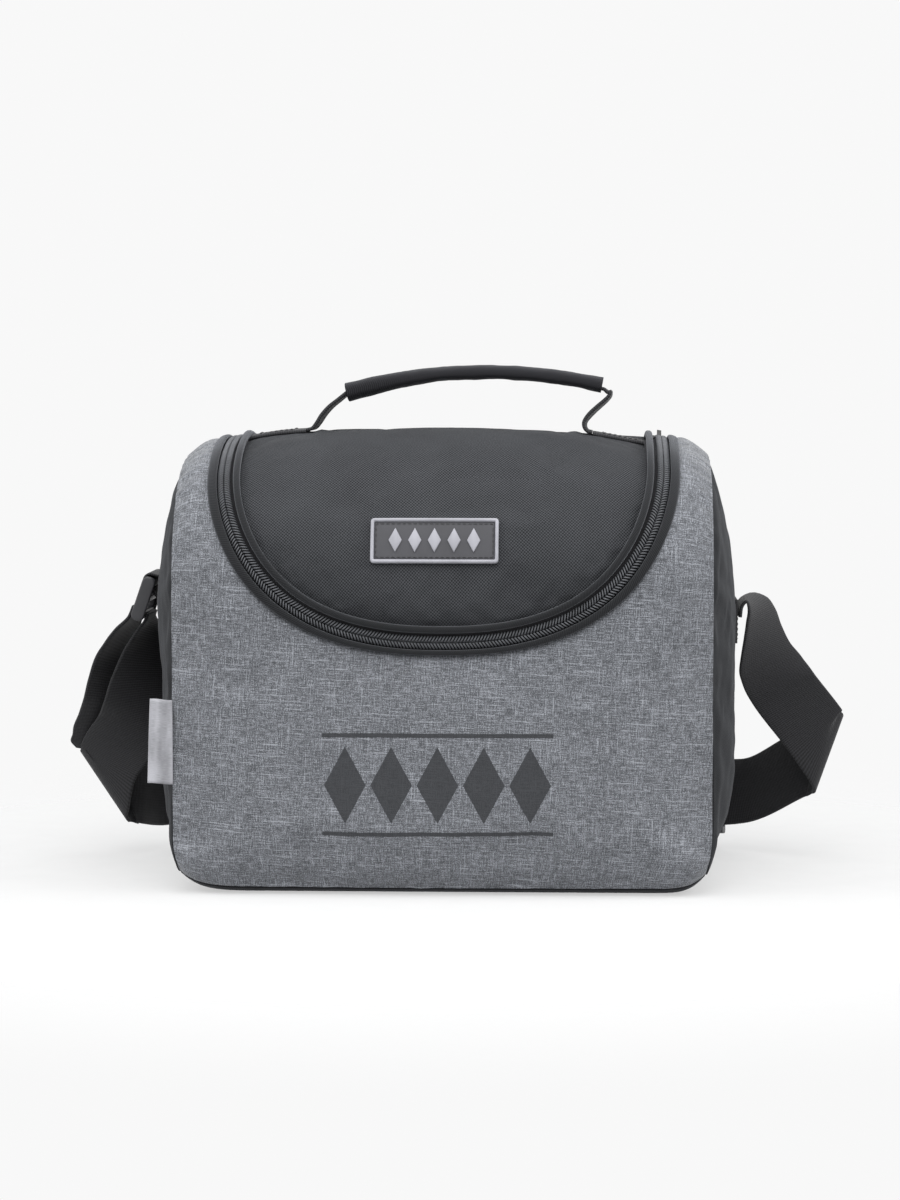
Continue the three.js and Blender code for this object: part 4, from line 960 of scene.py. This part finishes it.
def make_lid():
    x, s = lid_grid(PIPING_FROM + 1.4, SEAM_GAP, 111, 151)
    relief = lid_relief(x, s)
    outer = wall(x, s, relief)
    held = (np.abs(x - BADGE_X) < BADGE_WIDTH / 2 + 2) & (np.abs(s - BADGE_S) < BADGE_HEIGHT / 2 + 2)
    held |= (np.abs(np.abs(x) - 76) < 15) & (np.abs(outer[..., 1] - HANDLE_Y) < HANDLE_WIDTH / 2 + 1)
    held[:2] = held[-2:] = held[:, :2] = held[:, -2:] = True
    settled = settle(outer, held, 1.5, 0.006, 2.5)
    obj = shell_object("lid_cloth", settled, wall(x, s, relief - CLOTH), np.stack([x, s], -1), LID_CLOTH)
    finish_piece(obj, "lid", "lid_shell", slot="twill_fabric", fill=0.6)
    for part, piece, inset, _, depths, looks in LAYERS:
        grid = lid_grid(inset, 4, 50, 70)
        wall_shell(f"lid_{piece}", "lid", f"lid_{part}", grid, [depth - lid_sag(*grid) for depth in depths], *looks)


def make_hinge():
    """Cloth and lining that run on over the joint between the lid and the back."""
    rows = np.linspace(-1, 1, 37)[:, None]
    s = hinge_line + HINGE_REACH * rows
    turn = dict(start=tuple(wall(0, s[-1, 0], 0) * MM), end=tuple(wall(0, s[0, 0], 0) * MM))
    edge = 1 - np.abs(rows) ** 8
    side = ZIP_HALF_WIDTH - PIPING_FROM - PIPING_WIDTH + 0.6
    for name, reach, top, low, material, slot, fill in (
        ("hinge_cloth", side, 0.75 * edge - 0.1, -0.6, LID_CLOTH, "twill_fabric", 0.3),
        ("hinge_lining", 91.4, -8.0, -8.0 - 0.7 * edge, FOIL, "foil_liner", None),
    ):
        x, ss = np.meshgrid(np.linspace(-reach, reach, 121), s[:, 0])
        relief = np.where(ss < hinge_line, lid_relief(x, ss), 0.0) if fill else 0.0
        skins = [wall(x, ss, relief + depth) for depth in (top, low)]
        made = shell_object(name, *skins, np.stack([x, ss], -1), material)
        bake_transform(made)


# ---- zip ----

# One bent wire of the coil, from the tape's side to the chain's middle: across, up and along
TOOTH_PATH = [(2.85, -0.35, 0.75), (2.5, 0.25, 0.6), (1.6, 0.62, 0.1), (0.7, 0.62, -0.45), (0.1, 0.2, -0.8)]
TAPE_SECTION = [(0.4, -0.7), (8.0, -0.7), (8.0, 0), (5.6, 0.1), (3.2, 0.5), (2.6, 1.2), (0.5, 1.2), (0.4, 0.4)]
TUBE_ANGLES = 2 * np.pi * np.arange(TUBE_SIDES) / TUBE_SIDES


def teeth_object(name, x, s, side, phase, base):
    """Coil teeth along the line (x, s); side is 1 outside the line and -1 inside it."""
    length = along_lengths(wall(x, s, base))
    marks = np.arange(phase * TOOTH_PITCH + 0.3, length[-1] - 0.3, TOOTH_PITCH)
    here, ahead = (np.stack([np.interp(at, length, line) for line in (x, s)]) for at in (marks, marks + 0.2))
    dx, ds = 0.1 * (ahead - here) / np.maximum(np.hypot(*(ahead - here)), 1e-6)
    middle = wall(*here, base)
    across = side * unit(wall(here[0] + ds, here[1] - dx, base) - middle)
    along = unit(wall(here[0] + dx, here[1] + ds, base) - middle)
    axes = np.stack([across, wall(*here, base + 1.0) - middle, along], 1)
    ring = TOOTH_RADIUS * np.stack([0 * TUBE_ANGLES, np.sin(TUBE_ANGLES), np.cos(TUBE_ANGLES)], -1)
    rings = np.array(TOOTH_PATH)[:, None] + ring
    return tubes_object(name, middle[:, None, None] + np.einsum("pka,nab->npkb", rings, axes), COIL, True)


def make_zip():
    for part, body, side, tail, phase in (("outer", "root", 1, 0, 0.0), ("inner", "lid", -1, -1, 0.5)):
        section = [(side * away, TAPE_TOP + up) for away, up in TAPE_SECTION]
        zip_band(f"{part}_zip_tape_cloth", section, tail, TAPE_CLOTH, body, f"{part}_zip_tape", slot="zip_tape")
        line = zip_line(0, tail, even_steps(tail, 2400)[0])
        made = teeth_object(f"{part}_teeth", *line, side, phase, TAPE_TOP + 2.0)
        finish_piece(made, body, f"{part}_zip_coil", slot="zip_coil")
    rib = round_section(RIB_FROM, RIB_WIDTH, -0.4, 1.9)
    zip_band("outer_rib", rib, 0, PIPE_CLOTH, "root", "front_zip_rib", pinch=0.45, fold=0.35)
    piping = round_section(-PIPING_FROM - PIPING_WIDTH, PIPING_WIDTH, -0.9, 2.3)
    zip_band("inner_piping", piping, -1, PIPE_CLOTH, "lid", "lid_piping", fold=0.35)
    binding = round_section(PANEL_EDGE, 6.0, -10.4, -9.4)
    zip_band("mouth_edge_binding", binding, -4, TAPE_CLOTH, "root", "mouth_binding")
    for side, sign in (("left", -1), ("right", 1)):
        line = sign * ZIP_HALF_WIDTH
        tail_s = np.linspace(hinge_line + 1, hinge_line + CHAIN_TAIL, 60)
        sections = np.stack([wall(line + a, tail_s, b) for a, b in round_section(-3.6, 7.2, 0.15, 0.8)], 1)
        under = sweep_object(f"{side}_tail_tape", sections, tail_s - tail_s[0], TAPE_CLOTH)
        finish_piece(under, "root", f"zip_tail_{side}", slot="zip_tape")
        fine = np.linspace(hinge_line + 1.5, hinge_line + CHAIN_TAIL - 1, 400)
        for part, hand in (("a", 1), ("b", -1)):
            phase = 0.25 + 0.25 * hand
            made = teeth_object(f"{side}_tail_teeth_{part}", np.full(400, line), fine, hand, phase, 1.1)
            finish_piece(made, "root", slot="zip_coil")


# ---- badge ----

BADGE_CORNER = 1.5
BADGE_RIM_WIDTH = 1.6
BADGE_LOZENGES = 5
LOZENGE_PITCH = 8.6
LOZENGE = np.array([(2.9, 0), (1.45, 2.6), (0, 5.2), (-1.45, 2.6), (-2.9, 0), (-1.45, -2.6), (0, -5.2), (1.45, -2.6)])
# Inset from the badge's outline, and height
RIM_PROFILE = [(0, 0.3), (0, 1.6), (0.25, 2.1), (0.6, 2.3), (1.1, 2.25), (1.4, 2), (1.6, 1.5), (1.6, 0.9)]

STITCH, STITCH_GAP = 1.7, 0.7
THREAD_RADIUS = 0.22
THREAD_LIFT = np.array([-0.12, 0.08, 0.12, 0.08, -0.12])


def stitches(name, line, offset, body, surface, centre):
    """A row of short thread runs round the loop of (x, s) points, just above the surface."""
    line = np.concatenate([line, line[:1]])
    far = along_lengths(line)
    starts = np.arange(0, far[-1] - STITCH, STITCH + STITCH_GAP)
    at = starts[:, None] + np.linspace(0, 1, 5) * STITCH
    x, s = (np.interp(at, far, line[:, k]) + centre[k] for k in (0, 1))
    middle = surface(x, s, offset + THREAD_LIFT)
    up = surface(x, s, offset + THREAD_LIFT + 1) - middle
    side = unit(np.cross(np.gradient(middle, axis=1), up))
    c, d = np.cos(TUBE_ANGLES)[:, None], np.sin(TUBE_ANGLES)[:, None]
    rings = middle[:, :, None] + THREAD_RADIUS * (c * side[:, :, None] + d * up[:, :, None])
    finish_piece(tubes_object(name, rings, DARK_THREAD, False), body)


def rounded_loop(half_w, half_h, corner, per_side=16):
    """Rounded rectangle, five points to a corner, with per_side steps between two corners."""
    angles = np.pi / 2 * (np.arange(4)[:, None] + np.linspace(0, 1, 5))
    signs = np.array([(1, 1), (-1, 1), (-1, -1), (1, -1)])[:, None]
    corners = signs * (half_w - corner, half_h - corner) + corner * np.stack([np.cos(angles), np.sin(angles)], -1)
    last, first = corners[:, -1:], np.roll(corners[:, :1], -1, 0)
    sides = last + (first - last) * (np.arange(1, per_side) / per_side)[:, None]
    return np.concatenate([corners, sides], 1).reshape(-1, 2)


def badge_surface(x, s, offset):
    x, s = BADGE_X + x, BADGE_S + s
    return wall(x, s, lid_relief(x, s) * 0.7 + offset)


def make_badge():
    half_w, half_h = BADGE_WIDTH / 2, BADGE_HEIGHT / 2
    rings = []
    for inset, offset in RIM_PROFILE:
        loop = rounded_loop(half_w - inset, half_h - inset, max(0.4, BADGE_CORNER - inset))
        rings.append(badge_surface(*np.concatenate([loop, loop[:1]]).T, offset))
    sections = np.stack(rings, 1)
    rim = sweep_object("badge_rim", sections, np.arange(len(sections)), BADGE_RIM, caps=False)
    finish_piece(rim, "lid", "badge_border", slot="badge_rim")
    across, up = (half - BADGE_RIM_WIDTH + 0.05 for half in (half_w, half_h))
    grid = np.meshgrid(across * np.linspace(-1, 1, 60), up * np.linspace(-1, 1, 24))
    skins = [badge_surface(*grid, offset) for offset in (1.35, 0.35)]
    plate = shell_object("badge_field", *skins, np.stack(grid, -1), BADGE_FIELD)
    finish_piece(plate, "lid", "badge_plate", slot="badge_rubber")
    for k in range(BADGE_LOZENGES):
        across = (k - (BADGE_LOZENGES - 1) / 2) * LOZENGE_PITCH
        rings = [
            badge_surface(across + grow * LOZENGE[:, 0], grow * LOZENGE[:, 1], lift)
            for grow, lift in ((1.0, 1.3), (1.0, 1.85), (0.88, 2.05))
        ]
        made = sweep_object(f"badge_lozenge_{k + 1}", np.array(rings), np.arange(3), BADGE_RIM)
        finish_piece(made, "lid", slot="badge_rim")
    stitches("badge_stitches", rounded_loop(half_w - 2.5, half_h - 2.5, 0.5), 1.36, "lid", badge_surface, (0, 0))


# ---- webbing ----


def catmull(points, shares):
    """Centripetal Catmull-Rom curve through the points, at shares from 0 to 1 of its stations."""
    p = np.asarray(points, float)
    ends = np.concatenate([[2 * p[0] - p[1]], p, [2 * p[-1] - p[-2]]])
    at = np.clip(shares, 0, 1) * (len(p) - 1)
    whole = np.minimum(at.astype(int), len(p) - 2)
    q = [ends[whole + k] for k in range(4)]
    gaps = [np.maximum(np.linalg.norm(q[k + 1] - q[k], axis=-1), 1e-9) ** 0.5 for k in range(3)]
    knots = np.cumsum([0 * gaps[0], *gaps], axis=0)[..., None]
    x = knots[1] + (knots[2] - knots[1]) * (at - whole)[:, None]

    def between(a, b, i, j):
        return ((knots[j] - x) * a + (x - knots[i]) * b) / (knots[j] - knots[i])

    a = [between(q[k], q[k + 1], k, k + 1) for k in range(3)]
    b = [between(a[k], a[k + 1], k, k + 2) for k in range(2)]
    return between(b[0], b[1], 1, 2)


def web_section(width, thick):
    """Outline of flat webbing with rounded edges, as (thickness, width) pairs."""
    edge = thick / 2
    flat = np.linspace(edge - width / 2, width / 2 - edge, 14)
    bend = np.linspace(0, np.pi, 7)[1:-1]
    across = np.concatenate([np.full(14, edge), edge * np.cos(bend)])
    along = np.concatenate([flat, width / 2 - edge + edge * np.sin(bend)])
    half = np.stack([across, along], 1)
    return np.concatenate([half, -half])


def web_frames(stations, steps):
    """Centre line of webbing in even steps, its width directions and its outward directions.

    A station is its place, then the direction of the width.
    """
    places, widths = np.asarray(stations, float)[:, :3], np.asarray(stations, float)[:, 3:]
    shares = np.linspace(0, 1, steps)
    length = along_lengths(catmull(places, shares))
    shares = np.interp(np.linspace(0, length[-1], steps), length, shares)
    middle = catmull(places, shares)
    side = unit(catmull(widths, shares))
    up = np.cross(unit(np.gradient(middle, axis=0)), side)
    straight = np.linalg.norm(up, axis=1)[:, None]
    return middle, side / straight, up / straight


def webbing(name, stations, width, thick, steps, material, cup=0.0):
    """Flat webbing; where a station's width direction is slanted, the strap is ruled along it."""
    middle, side, up = web_frames(stations, steps)
    out, across = web_section(width, thick).T
    out = out + cup * (1 - (2 * across / width) ** 2)
    rings = middle[:, None] + side[:, None] * across[:, None] + up[:, None] * out[:, None]
    return sweep_object(name, rings, along_lengths(middle), material)


# ---- carry handle ----

STRIP_BOW = 0.6
BOX_LENGTH = 16.0
BOX_INSET = 2.2
HANDLE_LEFT, HANDLE_RIGHT = -62.0, 63.0
GRIP_RISE = 17.0
GRIP_LEFT, GRIP_RIGHT = -47.0, 71.0
GRIP_WIDTH = 29.0
GRIP_THICK = 7.0
GRIP_ROUND = 9.0
# How full the sleeve's underside is, at places from -1 at its left end to 1 at its right end
GRIP_SAG = [-1, -0.85, -0.5, -0.25, 0, 0.12, 0.3, 1], [1.5, 1.45, 1.1, 0.85, 1.0, 0.85, 0.92, 0.95]
WEB = 1.6
# Free legs of the handle: distances across from their feet, and heights
LEFT_LEG = [(-3.0, 0.0), (-0.4, 0.7), (1.8, 3.2), (4.0, 6.6), (7.4, 10.4), (11.4, 13.6)]
RIGHT_LEG = [
    (3.4, 0.0), (1.4, 0.35), (0.1, 1.4), (-0.1, 3.0), (1.1, 5.2), (3.6, 8.0), (6.9, 11.0), (9.6, 13.4), (11.3, 15.4),
    (11.7, 17.4),
]


def lid_top(x):
    return wall(x, np.linspace(crown_start, crown_end, 40), 0)[:, 2].max()


def strip_z(x):
    return lid_top(x) + 0.4 + WEB / 2


def on_lid(x, offset):
    """Point of the lid's cloth under the handle's middle, at x across."""
    s = np.linspace(shoulder_start, hinge_line - 10, 400)
    points = wall(x, s, lid_relief(np.full(s.shape, x), s) + offset)
    return points[np.abs(points[:, 1] - HANDLE_Y).argmin()]


def handle_arch(grip_end, reach):
    t = np.linspace(GRIP_LEFT + reach, GRIP_RIGHT - reach, 9)
    middle = (GRIP_LEFT + GRIP_RIGHT) / 2
    share = (t - middle) / (GRIP_RIGHT - middle)
    return [(x, HANDLE_Y, grip_end + 2.2 + 1.2 * k + 7 * (1 - k * k), 0, 1, 0) for x, k in zip(t, share)]


def make_strip(side, start, end):
    """Sewn end of the handle on the lid, and its stitched box."""
    across = np.linspace(start, end, 13)
    stations = [(*on_lid(x, WEB / 2 - STRIP_BOW + 0.1), 0, 1, 0) for x in across]
    made = webbing(f"handle_strip_{side}", stations, HANDLE_WIDTH, WEB, 60, HANDLE_WEBBING, cup=STRIP_BOW)
    strip_top = [on_lid(x, WEB + 0.1)[2] for x in across]

    def strip_surface(x, y, offset):
        z = np.interp(x, across, strip_top) - STRIP_BOW * (2 * (y - HANDLE_Y) / HANDLE_WIDTH) ** 2
        return np.stack([x, y, z + offset], -1)

    box = rounded_loop(BOX_LENGTH / 2, HANDLE_WIDTH / 2 - BOX_INSET, 0.4)
    stitches(f"handle_box_{side}", box, 0.12, "lid", strip_surface, ((start + end) / 2, HANDLE_Y))
    finish_piece(made, "lid", f"handle_anchor_{side}", slot="webbing")


def make_handle():
    grip_end = lid_top(0) + GRIP_RISE
    lift = grip_end - strip_z(0)
    far = ZIP_HALF_WIDTH - PIPING_FROM - PIPING_WIDTH + 1.6
    make_strip("left", -far, HANDLE_LEFT - 3.2)
    make_strip("right", HANDLE_RIGHT + 3.6, far)
    for side, foot, leg, upper, keep, twist in (
        ("left", HANDLE_LEFT, LEFT_LEG, [(GRIP_LEFT + 0.8, 1.4)], 0.38, 0.02),
        ("right", HANDLE_RIGHT, RIGHT_LEG, [(HANDLE_RIGHT + 10.7, 1.2), (HANDLE_RIGHT + 8.8, 2.6),
                                            (GRIP_RIGHT - 0.8, 3.0)], 0.45, 0.10),
    ):
        points = [(foot + x, z) for x, z in leg] + [(x, lift + z) for x, z in upper]
        base = strip_z(foot)
        drop = base - on_lid(points[0][0], 0.2 + WEB / 2)[2]
        stations = []
        for x, z in points:
            slack = math.sin(math.pi * min(1, z / points[-1][1]))
            stations.append((x, HANDLE_Y, base + z - drop * max(0, 1 - z / 3), twist * slack, 1, 0))
        made = webbing(f"handle_web_{side}", stations, HANDLE_WIDTH, WEB, 140, HANDLE_WEBBING)
        finish_piece(made, "lid", f"handle_leg_{side}", slot="webbing")
        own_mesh(made)
    web = webbing("handle_web_core", handle_arch(grip_end, 1.4), HANDLE_WIDTH, WEB, 80, HANDLE_WEBBING)
    finish_piece(web, "handle", "handle_webbing", slot="webbing")
    make_grip(grip_end)


def make_grip(grip_end):
    """Padded sleeve, fuller and slack at its left end."""
    steps, around = 181, 48
    middle, side, up = web_frames(handle_arch(grip_end, 0.2), steps)
    far = along_lengths(middle)[:, None]
    angle = 2 * np.pi * np.arange(around + 1) / around
    c, d = np.cos(angle), np.sin(angle)
    c[-1], d[-1] = c[0], d[0]
    across = np.sign(c) * np.abs(c) ** 0.6 * GRIP_WIDTH / 2
    top, low = (np.maximum(k, 0) ** 0.6 * GRIP_THICK / 2 for k in (d, -d))
    folds = 0.30 * ripple(far, across * 0.5, 16.0, 51) + 0.15 * ripple(far, across, 7.0, 52)
    sag = np.interp(np.linspace(-1, 1, steps)[:, None], *GRIP_SAG)
    height = top * (0.97 + 0.12 * folds) - low * (sag + 0.16 * folds)
    skins = [
        middle[:, None] - side[:, None] * (across * wide)[:, None] + up[:, None] * (height * thick)[..., None]
        for wide, thick in ((1.0, 1.0), (0.93, 0.45))
    ]
    uv = np.stack(np.broadcast_arrays(far, angle * GRIP_ROUND), -1)
    obj = shell_object("handle_sleeve", *skins, uv, GRIP_CLOTH, wrap=True)
    finish_piece(obj, "handle", "handle_grip", slot="grip_fabric", fill=0.7)


# ---- shoulder strap ----

STRAP_WIDTH = 32.0
SIDE_X = HALF_WIDTH + GUSSET_BULGE
PATCH_X = SIDE_X + 0.4
PATCH_LENGTH = 20.0
BACK_Y = BODY_DEPTH / 2 + PANEL_SWELL
BACK_RUN_Z = 23.0
BACK_RUN_OUT = 10.0
LOCK_X = -SIDE_X - 9.1
LOCK_Z = STRAP_Z + 1
LOCK_TILT = math.radians(19.0)
LOCK_LENGTH = 20.0
LOCK_THICK = 4.6
LOCK_WALL = 4.0
CHEEK_HALF, CHEEK_THICK = 3.1, 2.6
TAB_REACH = 3.6
KEEPER_SHARE = 0.46
KEEPER_LENGTH = 14.0


def route(x, y, z, *rows):
    """Stations from rows of the webbing's centre, as seen from x, y, z, and the direction of its width."""
    return [(x + a, y + b, z + c, *width) for a, b, c, *width in rows]


STRAP_ROUTE = [
    *route(
        SIDE_X, STRAP_Y, STRAP_Z,
        (3.2, 0, -7, 0, 1, 0), (4.2, 0, -1.5, 0, 1, 0), (8, 0.3, 0.9, 0.12, 0.99, 0.05),
        (12, 1, -1.8, 0.3, 0.94, 0.1), (13.7, 1.8, -7.5, 0.45, 0.88, 0.12), (14.6, 3, -15.3, 0.57, 0.81, 0.15),
        (16.4, 6, -25.5, 0.75, 0.63, 0.2), (19.8, 11, -33.7, 0.88, 0.4, 0.27), (25.8, 17, -43.8, 0.9, 0.05, 0.44),
    ),
    *route(
        SIDE_X, BACK_Y, BACK_RUN_Z,
        (40.8, -41.9, 39.8, 0.77, 0.07, 0.63), (46.2, -37.3, 31.4, 0.33, 0, 0.94),
        (47.5, -33.9, 27.8, 0.33, 0, 0.94), (44.7, -29.2, 25.1, 0.33, 0, 0.94),
        (35.3, -22.8, 21.3, -0.13, 0.36, 0.92), (15.3, -5, 7.8, -0.2, 0.5, 0.84), (5, 2, 4.8, -0.12, 0.3, 0.95),
        (-14, 7.5, 3.6, -0.06, 0.12, 0.99), (-41.4, BACK_RUN_OUT, 3, 0, 0, 1),
    ),
    *route(0, BACK_Y + BACK_RUN_OUT, BACK_RUN_Z, (30, 0.5, 0, 0, 0, 1), (-30, 0.5, 0, 0, 0, 1)),
    *route(
        -SIDE_X, BACK_Y, BACK_RUN_Z,
        (41.4, BACK_RUN_OUT - 1, 2, 0, 0, 1), (-1, 3, 4, 0, 0, 1), (-10, -4, 3.6, 0, 0.08, 0.99),
        (-21.3, -22.9, 6.9, -0.08, 0.37, 0.92), (-31.3, -29.2, 8.5, -0.55, 0, 0.83),
        (-34.8, -33.9, 10.7, -0.55, 0, 0.83), (-34.5, -37.4, 14.8, -0.55, 0, 0.83),
        (-31.7, -41.2, 23.6, -0.88, 0.27, 0.4),
    ),
    *route(
        -SIDE_X, STRAP_Y, STRAP_Z,
        (-20.3, 15, -62, -0.93, -0.15, 0.33), (-17, 11, -52, -0.89, -0.42, 0.17),
        (-14.3, 7, -38.6, -0.75, -0.65, 0.09),
    ),
    *route(
        LOCK_X, STRAP_Y, STRAP_Z,
        (-2.3, 4, -24.7, -0.55, -0.84, 0), (0, 1, -13.5, -0.2, -0.98, 0), (0.6, 0, -8.7, 0, -1, 0),
        (1.4, 0, -6.35, 0, -1, 0),
    ),
]
TAIL_ROUTE = route(
    LOCK_X, STRAP_Y, STRAP_Z,
    (-5.1, 0, -2.6, 0, -1, 0), (-6.3, 0, -8, -0.08, -1, 0), (-10, 1, -13.5, -0.22, -0.98, 0),
    (-14, 5, -21.3, -0.35, -0.93, 0), (-16.6, 9, -28.5, -0.5, -0.86, 0), (-18, 12.5, -37.6, -0.65, -0.76, 0),
    (-18.8, 16, -47.6, -0.82, -0.57, 0), (-21, 21, -57.1, -0.93, -0.35, 0.05),
    (-24.3, 25.6, -68.5, -0.97, -0.08, 0.1), (-21.5, 27.4, -76.5, -0.97, 0.05, 0.16),
)


def frame_object(name, half_w, half_h, windows, thick, corner, bevel, axes, centre):
    """A flat plastic frame with rounded windows, bevelled all round; its axes are width, height and depth."""
    curve = bpy.data.curves.new(name, "CURVE")
    curve.dimensions = "2D"
    curve.fill_mode = "BOTH"
    curve.extrude = (thick / 2 - bevel) * MM
    curve.bevel_depth = bevel * MM
    curve.bevel_resolution = 3
    curve.offset = -bevel * MM
    for middle, *shape in ((0, half_w, half_h, corner), *windows):
        loop = rounded_loop(*shape, per_side=1)
        spline = curve.splines.new("POLY")
        spline.points.add(len(loop) - 1)
        for point, (x, y) in zip(spline.points, loop):
            point.co = (x * MM, (y + middle) * MM, 0, 1)
        spline.use_cyclic_u = True
    temp = link_object(name + "_curve", curve)
    bpy.context.view_layer.update()
    mesh = bpy.data.meshes.new_from_object(temp.evaluated_get(bpy.context.evaluated_depsgraph_get()))
    bpy.data.objects.remove(temp)
    mesh.name = name
    mesh.materials.clear()
    mesh.materials.append(PLASTIC)
    obj = link_object(name, mesh)
    tidy_mesh(obj, merge=1e-6)
    mesh.shade_smooth()
    edge = obj.modifiers.new("edges", "EDGE_SPLIT")
    edge.split_angle = math.radians(50)
    mesh.transform(Matrix.Translation(Vector(centre) * MM) @ Matrix(axes).transposed().to_4x4())
    return obj


def make_patches():
    for side, sign, raised in (("left", -1, 13), ("right", 1, 0)):
        heights = np.linspace(1 - PATCH_LENGTH, 1, 5) + STRAP_Z + raised
        stations = [(sign * (PATCH_X + WEB / 2), STRAP_Y, z, 0, 1, 0) for z in heights]
        made = webbing(f"strap_root_{side}", stations, STRAP_WIDTH, WEB, 24, WEBBING)
        finish_piece(made, "root", f"strap_patch_{side}", slot="webbing")

    def patch_surface(y, z, offset):
        return np.stack([PATCH_X + WEB + offset + 0 * y, y, z], -1)

    box = rounded_loop(STRAP_WIDTH / 2 - BOX_INSET, 8.0, 0.4)
    stitches("patch_box_right", box, 0.0, "root", patch_surface, (STRAP_Y, STRAP_Z - 9))


def make_adjuster():
    half_w = STRAP_WIDTH / 2 + LOCK_WALL
    slot_h = (LOCK_LENGTH - 3 * LOCK_WALL + 1) / 4
    middle = (LOCK_WALL - 1) / 2 + slot_h
    windows = [(m, STRAP_WIDTH / 2 + 0.5, slot_h, 0.8) for m in (middle, -middle)]
    tip = (math.sin(LOCK_TILT), 0, math.cos(LOCK_TILT))
    flat = (math.cos(LOCK_TILT), 0, -math.sin(LOCK_TILT))
    axes = ((0, 1, 0), tip, flat)
    place = (LOCK_X, STRAP_Y, LOCK_Z)
    lock = frame_object("strap_adjuster", half_w, LOCK_LENGTH / 2, windows, LOCK_THICK, 3.0, 0.9, axes, place)
    finish_piece(lock, "strap", "ladder_lock", slot="black_plastic")
    for name, sign in (("front", -1), ("back", 1)):
        at = (LOCK_X, STRAP_Y + sign * (half_w - 0.6), LOCK_Z)
        cheek = frame_object(f"adjuster_cheek_{name}", CHEEK_HALF, LOCK_LENGTH / 2 + 0.6, [], CHEEK_THICK, 2.6, 0.8,
                             (flat, tip, (0, -1, 0)), at)
        finish_piece(cheek, "strap", slot="black_plastic")
    bar = (LOCK_LENGTH - LOCK_WALL) / 2
    bar_x, bar_z = LOCK_X + bar * math.sin(LOCK_TILT), LOCK_Z + bar * math.cos(LOCK_TILT)
    turn = np.pi / 2 - np.pi * np.arange(7) / 6
    places = [(-SIDE_X - 2.6, bar_z + TAB_REACH - 1)]
    places += [(bar_x - 2.9 * math.cos(a), bar_z + TAB_REACH * math.sin(a)) for a in turn]
    places += [(-SIDE_X - 2.6, bar_z - TAB_REACH - 4)]
    stations = [(x, STRAP_Y, z, 0, 1, 0) for x, z in places]
    tab = webbing("strap_tab", stations, STRAP_WIDTH - 1, 1.2, 70, WEBBING)
    finish_piece(tab, "strap", "strap_tab_left", slot="webbing")


def make_keeper():
    stations = np.array(STRAP_ROUTE)
    before, place, after = catmull(stations[:, :3], KEEPER_SHARE + np.array([-1e-4, 0, 1e-4]))
    along = unit(after - before)
    side = catmull(stations[:, 3:], np.array([KEEPER_SHARE]))[0]
    side = unit(side - side.dot(along) * along)
    axes = (side, np.cross(along, side), along)
    window = [(0, STRAP_WIDTH / 2 + 0.6, 2.0, 0.9)]
    half_w = STRAP_WIDTH / 2 + LOCK_WALL
    keeper = frame_object("strap_loop", half_w, WEB / 2 + 3, window, KEEPER_LENGTH, 1.6, 0.6, axes, place)
    finish_piece(keeper, "strap", "strap_keeper", slot="black_plastic")


def make_strap():
    make_patches()
    for name, stations, steps, node in (
        ("strap_web", STRAP_ROUTE, 420, "shoulder_strap"), ("strap_loose_end", TAIL_ROUTE, 90, "strap_tail"),
    ):
        finish_piece(webbing(name, stations, STRAP_WIDTH, WEB, steps, WEBBING), "strap", node, slot="webbing")
    make_adjuster()
    make_keeper()


# Section of the folded label: distances outwards and forwards from the seam
LABEL_FRONT = [(-0.2, 1.2), (2.0, 2.2), (5.0, 3.2), (8.0, 3.7), (9.3, 3.9), (9.9, 3.6)]
LABEL_BACK = [(9.7, 3.1), (9.0, 2.7), (7.0, 2.6), (4.0, 2.0), (1.6, 1.0), (0.0, 0.3)]


def make_label():
    """Satin label folded double, sewn into the left seam."""
    seam_x = -HALF_WIDTH + SEAM_GAP
    seam_y = wall(seam_x, straight_start + LABEL_LOW, 0)[1]
    section = np.array([(seam_x - a, seam_y - b) for a, b in LABEL_FRONT + LABEL_BACK])
    path = catmull(section, np.linspace(0, 1, 80))
    heights = LABEL_LOW + LABEL_HEIGHT * np.linspace(0, 1, 30)
    out = smooth((seam_x - path[:, :1]) / 9.0)
    x = path[:, :1] + out * LABEL_LEAN * (heights - heights.mean()) / LABEL_HEIGHT
    y = path[:, 1:] - out * 0.5 * np.sin(heights / LABEL_HEIGHT * 4.0)
    skin = np.stack([x, y, heights + out * 0.9], -1)
    uv = np.stack(np.broadcast_arrays(along_lengths(path)[:, None], heights), -1)
    normal = unit(np.cross(np.gradient(skin, axis=0), np.gradient(skin, axis=1)))
    made = shell_object("seam_label", skin, skin - LABEL_THICK * normal, uv, SATIN)
    finish_piece(made, "root", "side_label", slot="satin_label")


make_body()
make_lid()
make_hinge()
make_zip()
make_badge()
make_handle()
make_strap()
make_label()

for piece in ("zip_slider", "zip_pull"):
    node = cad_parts[piece]
    node.data.materials.clear()
    node.data.materials.append(METAL)
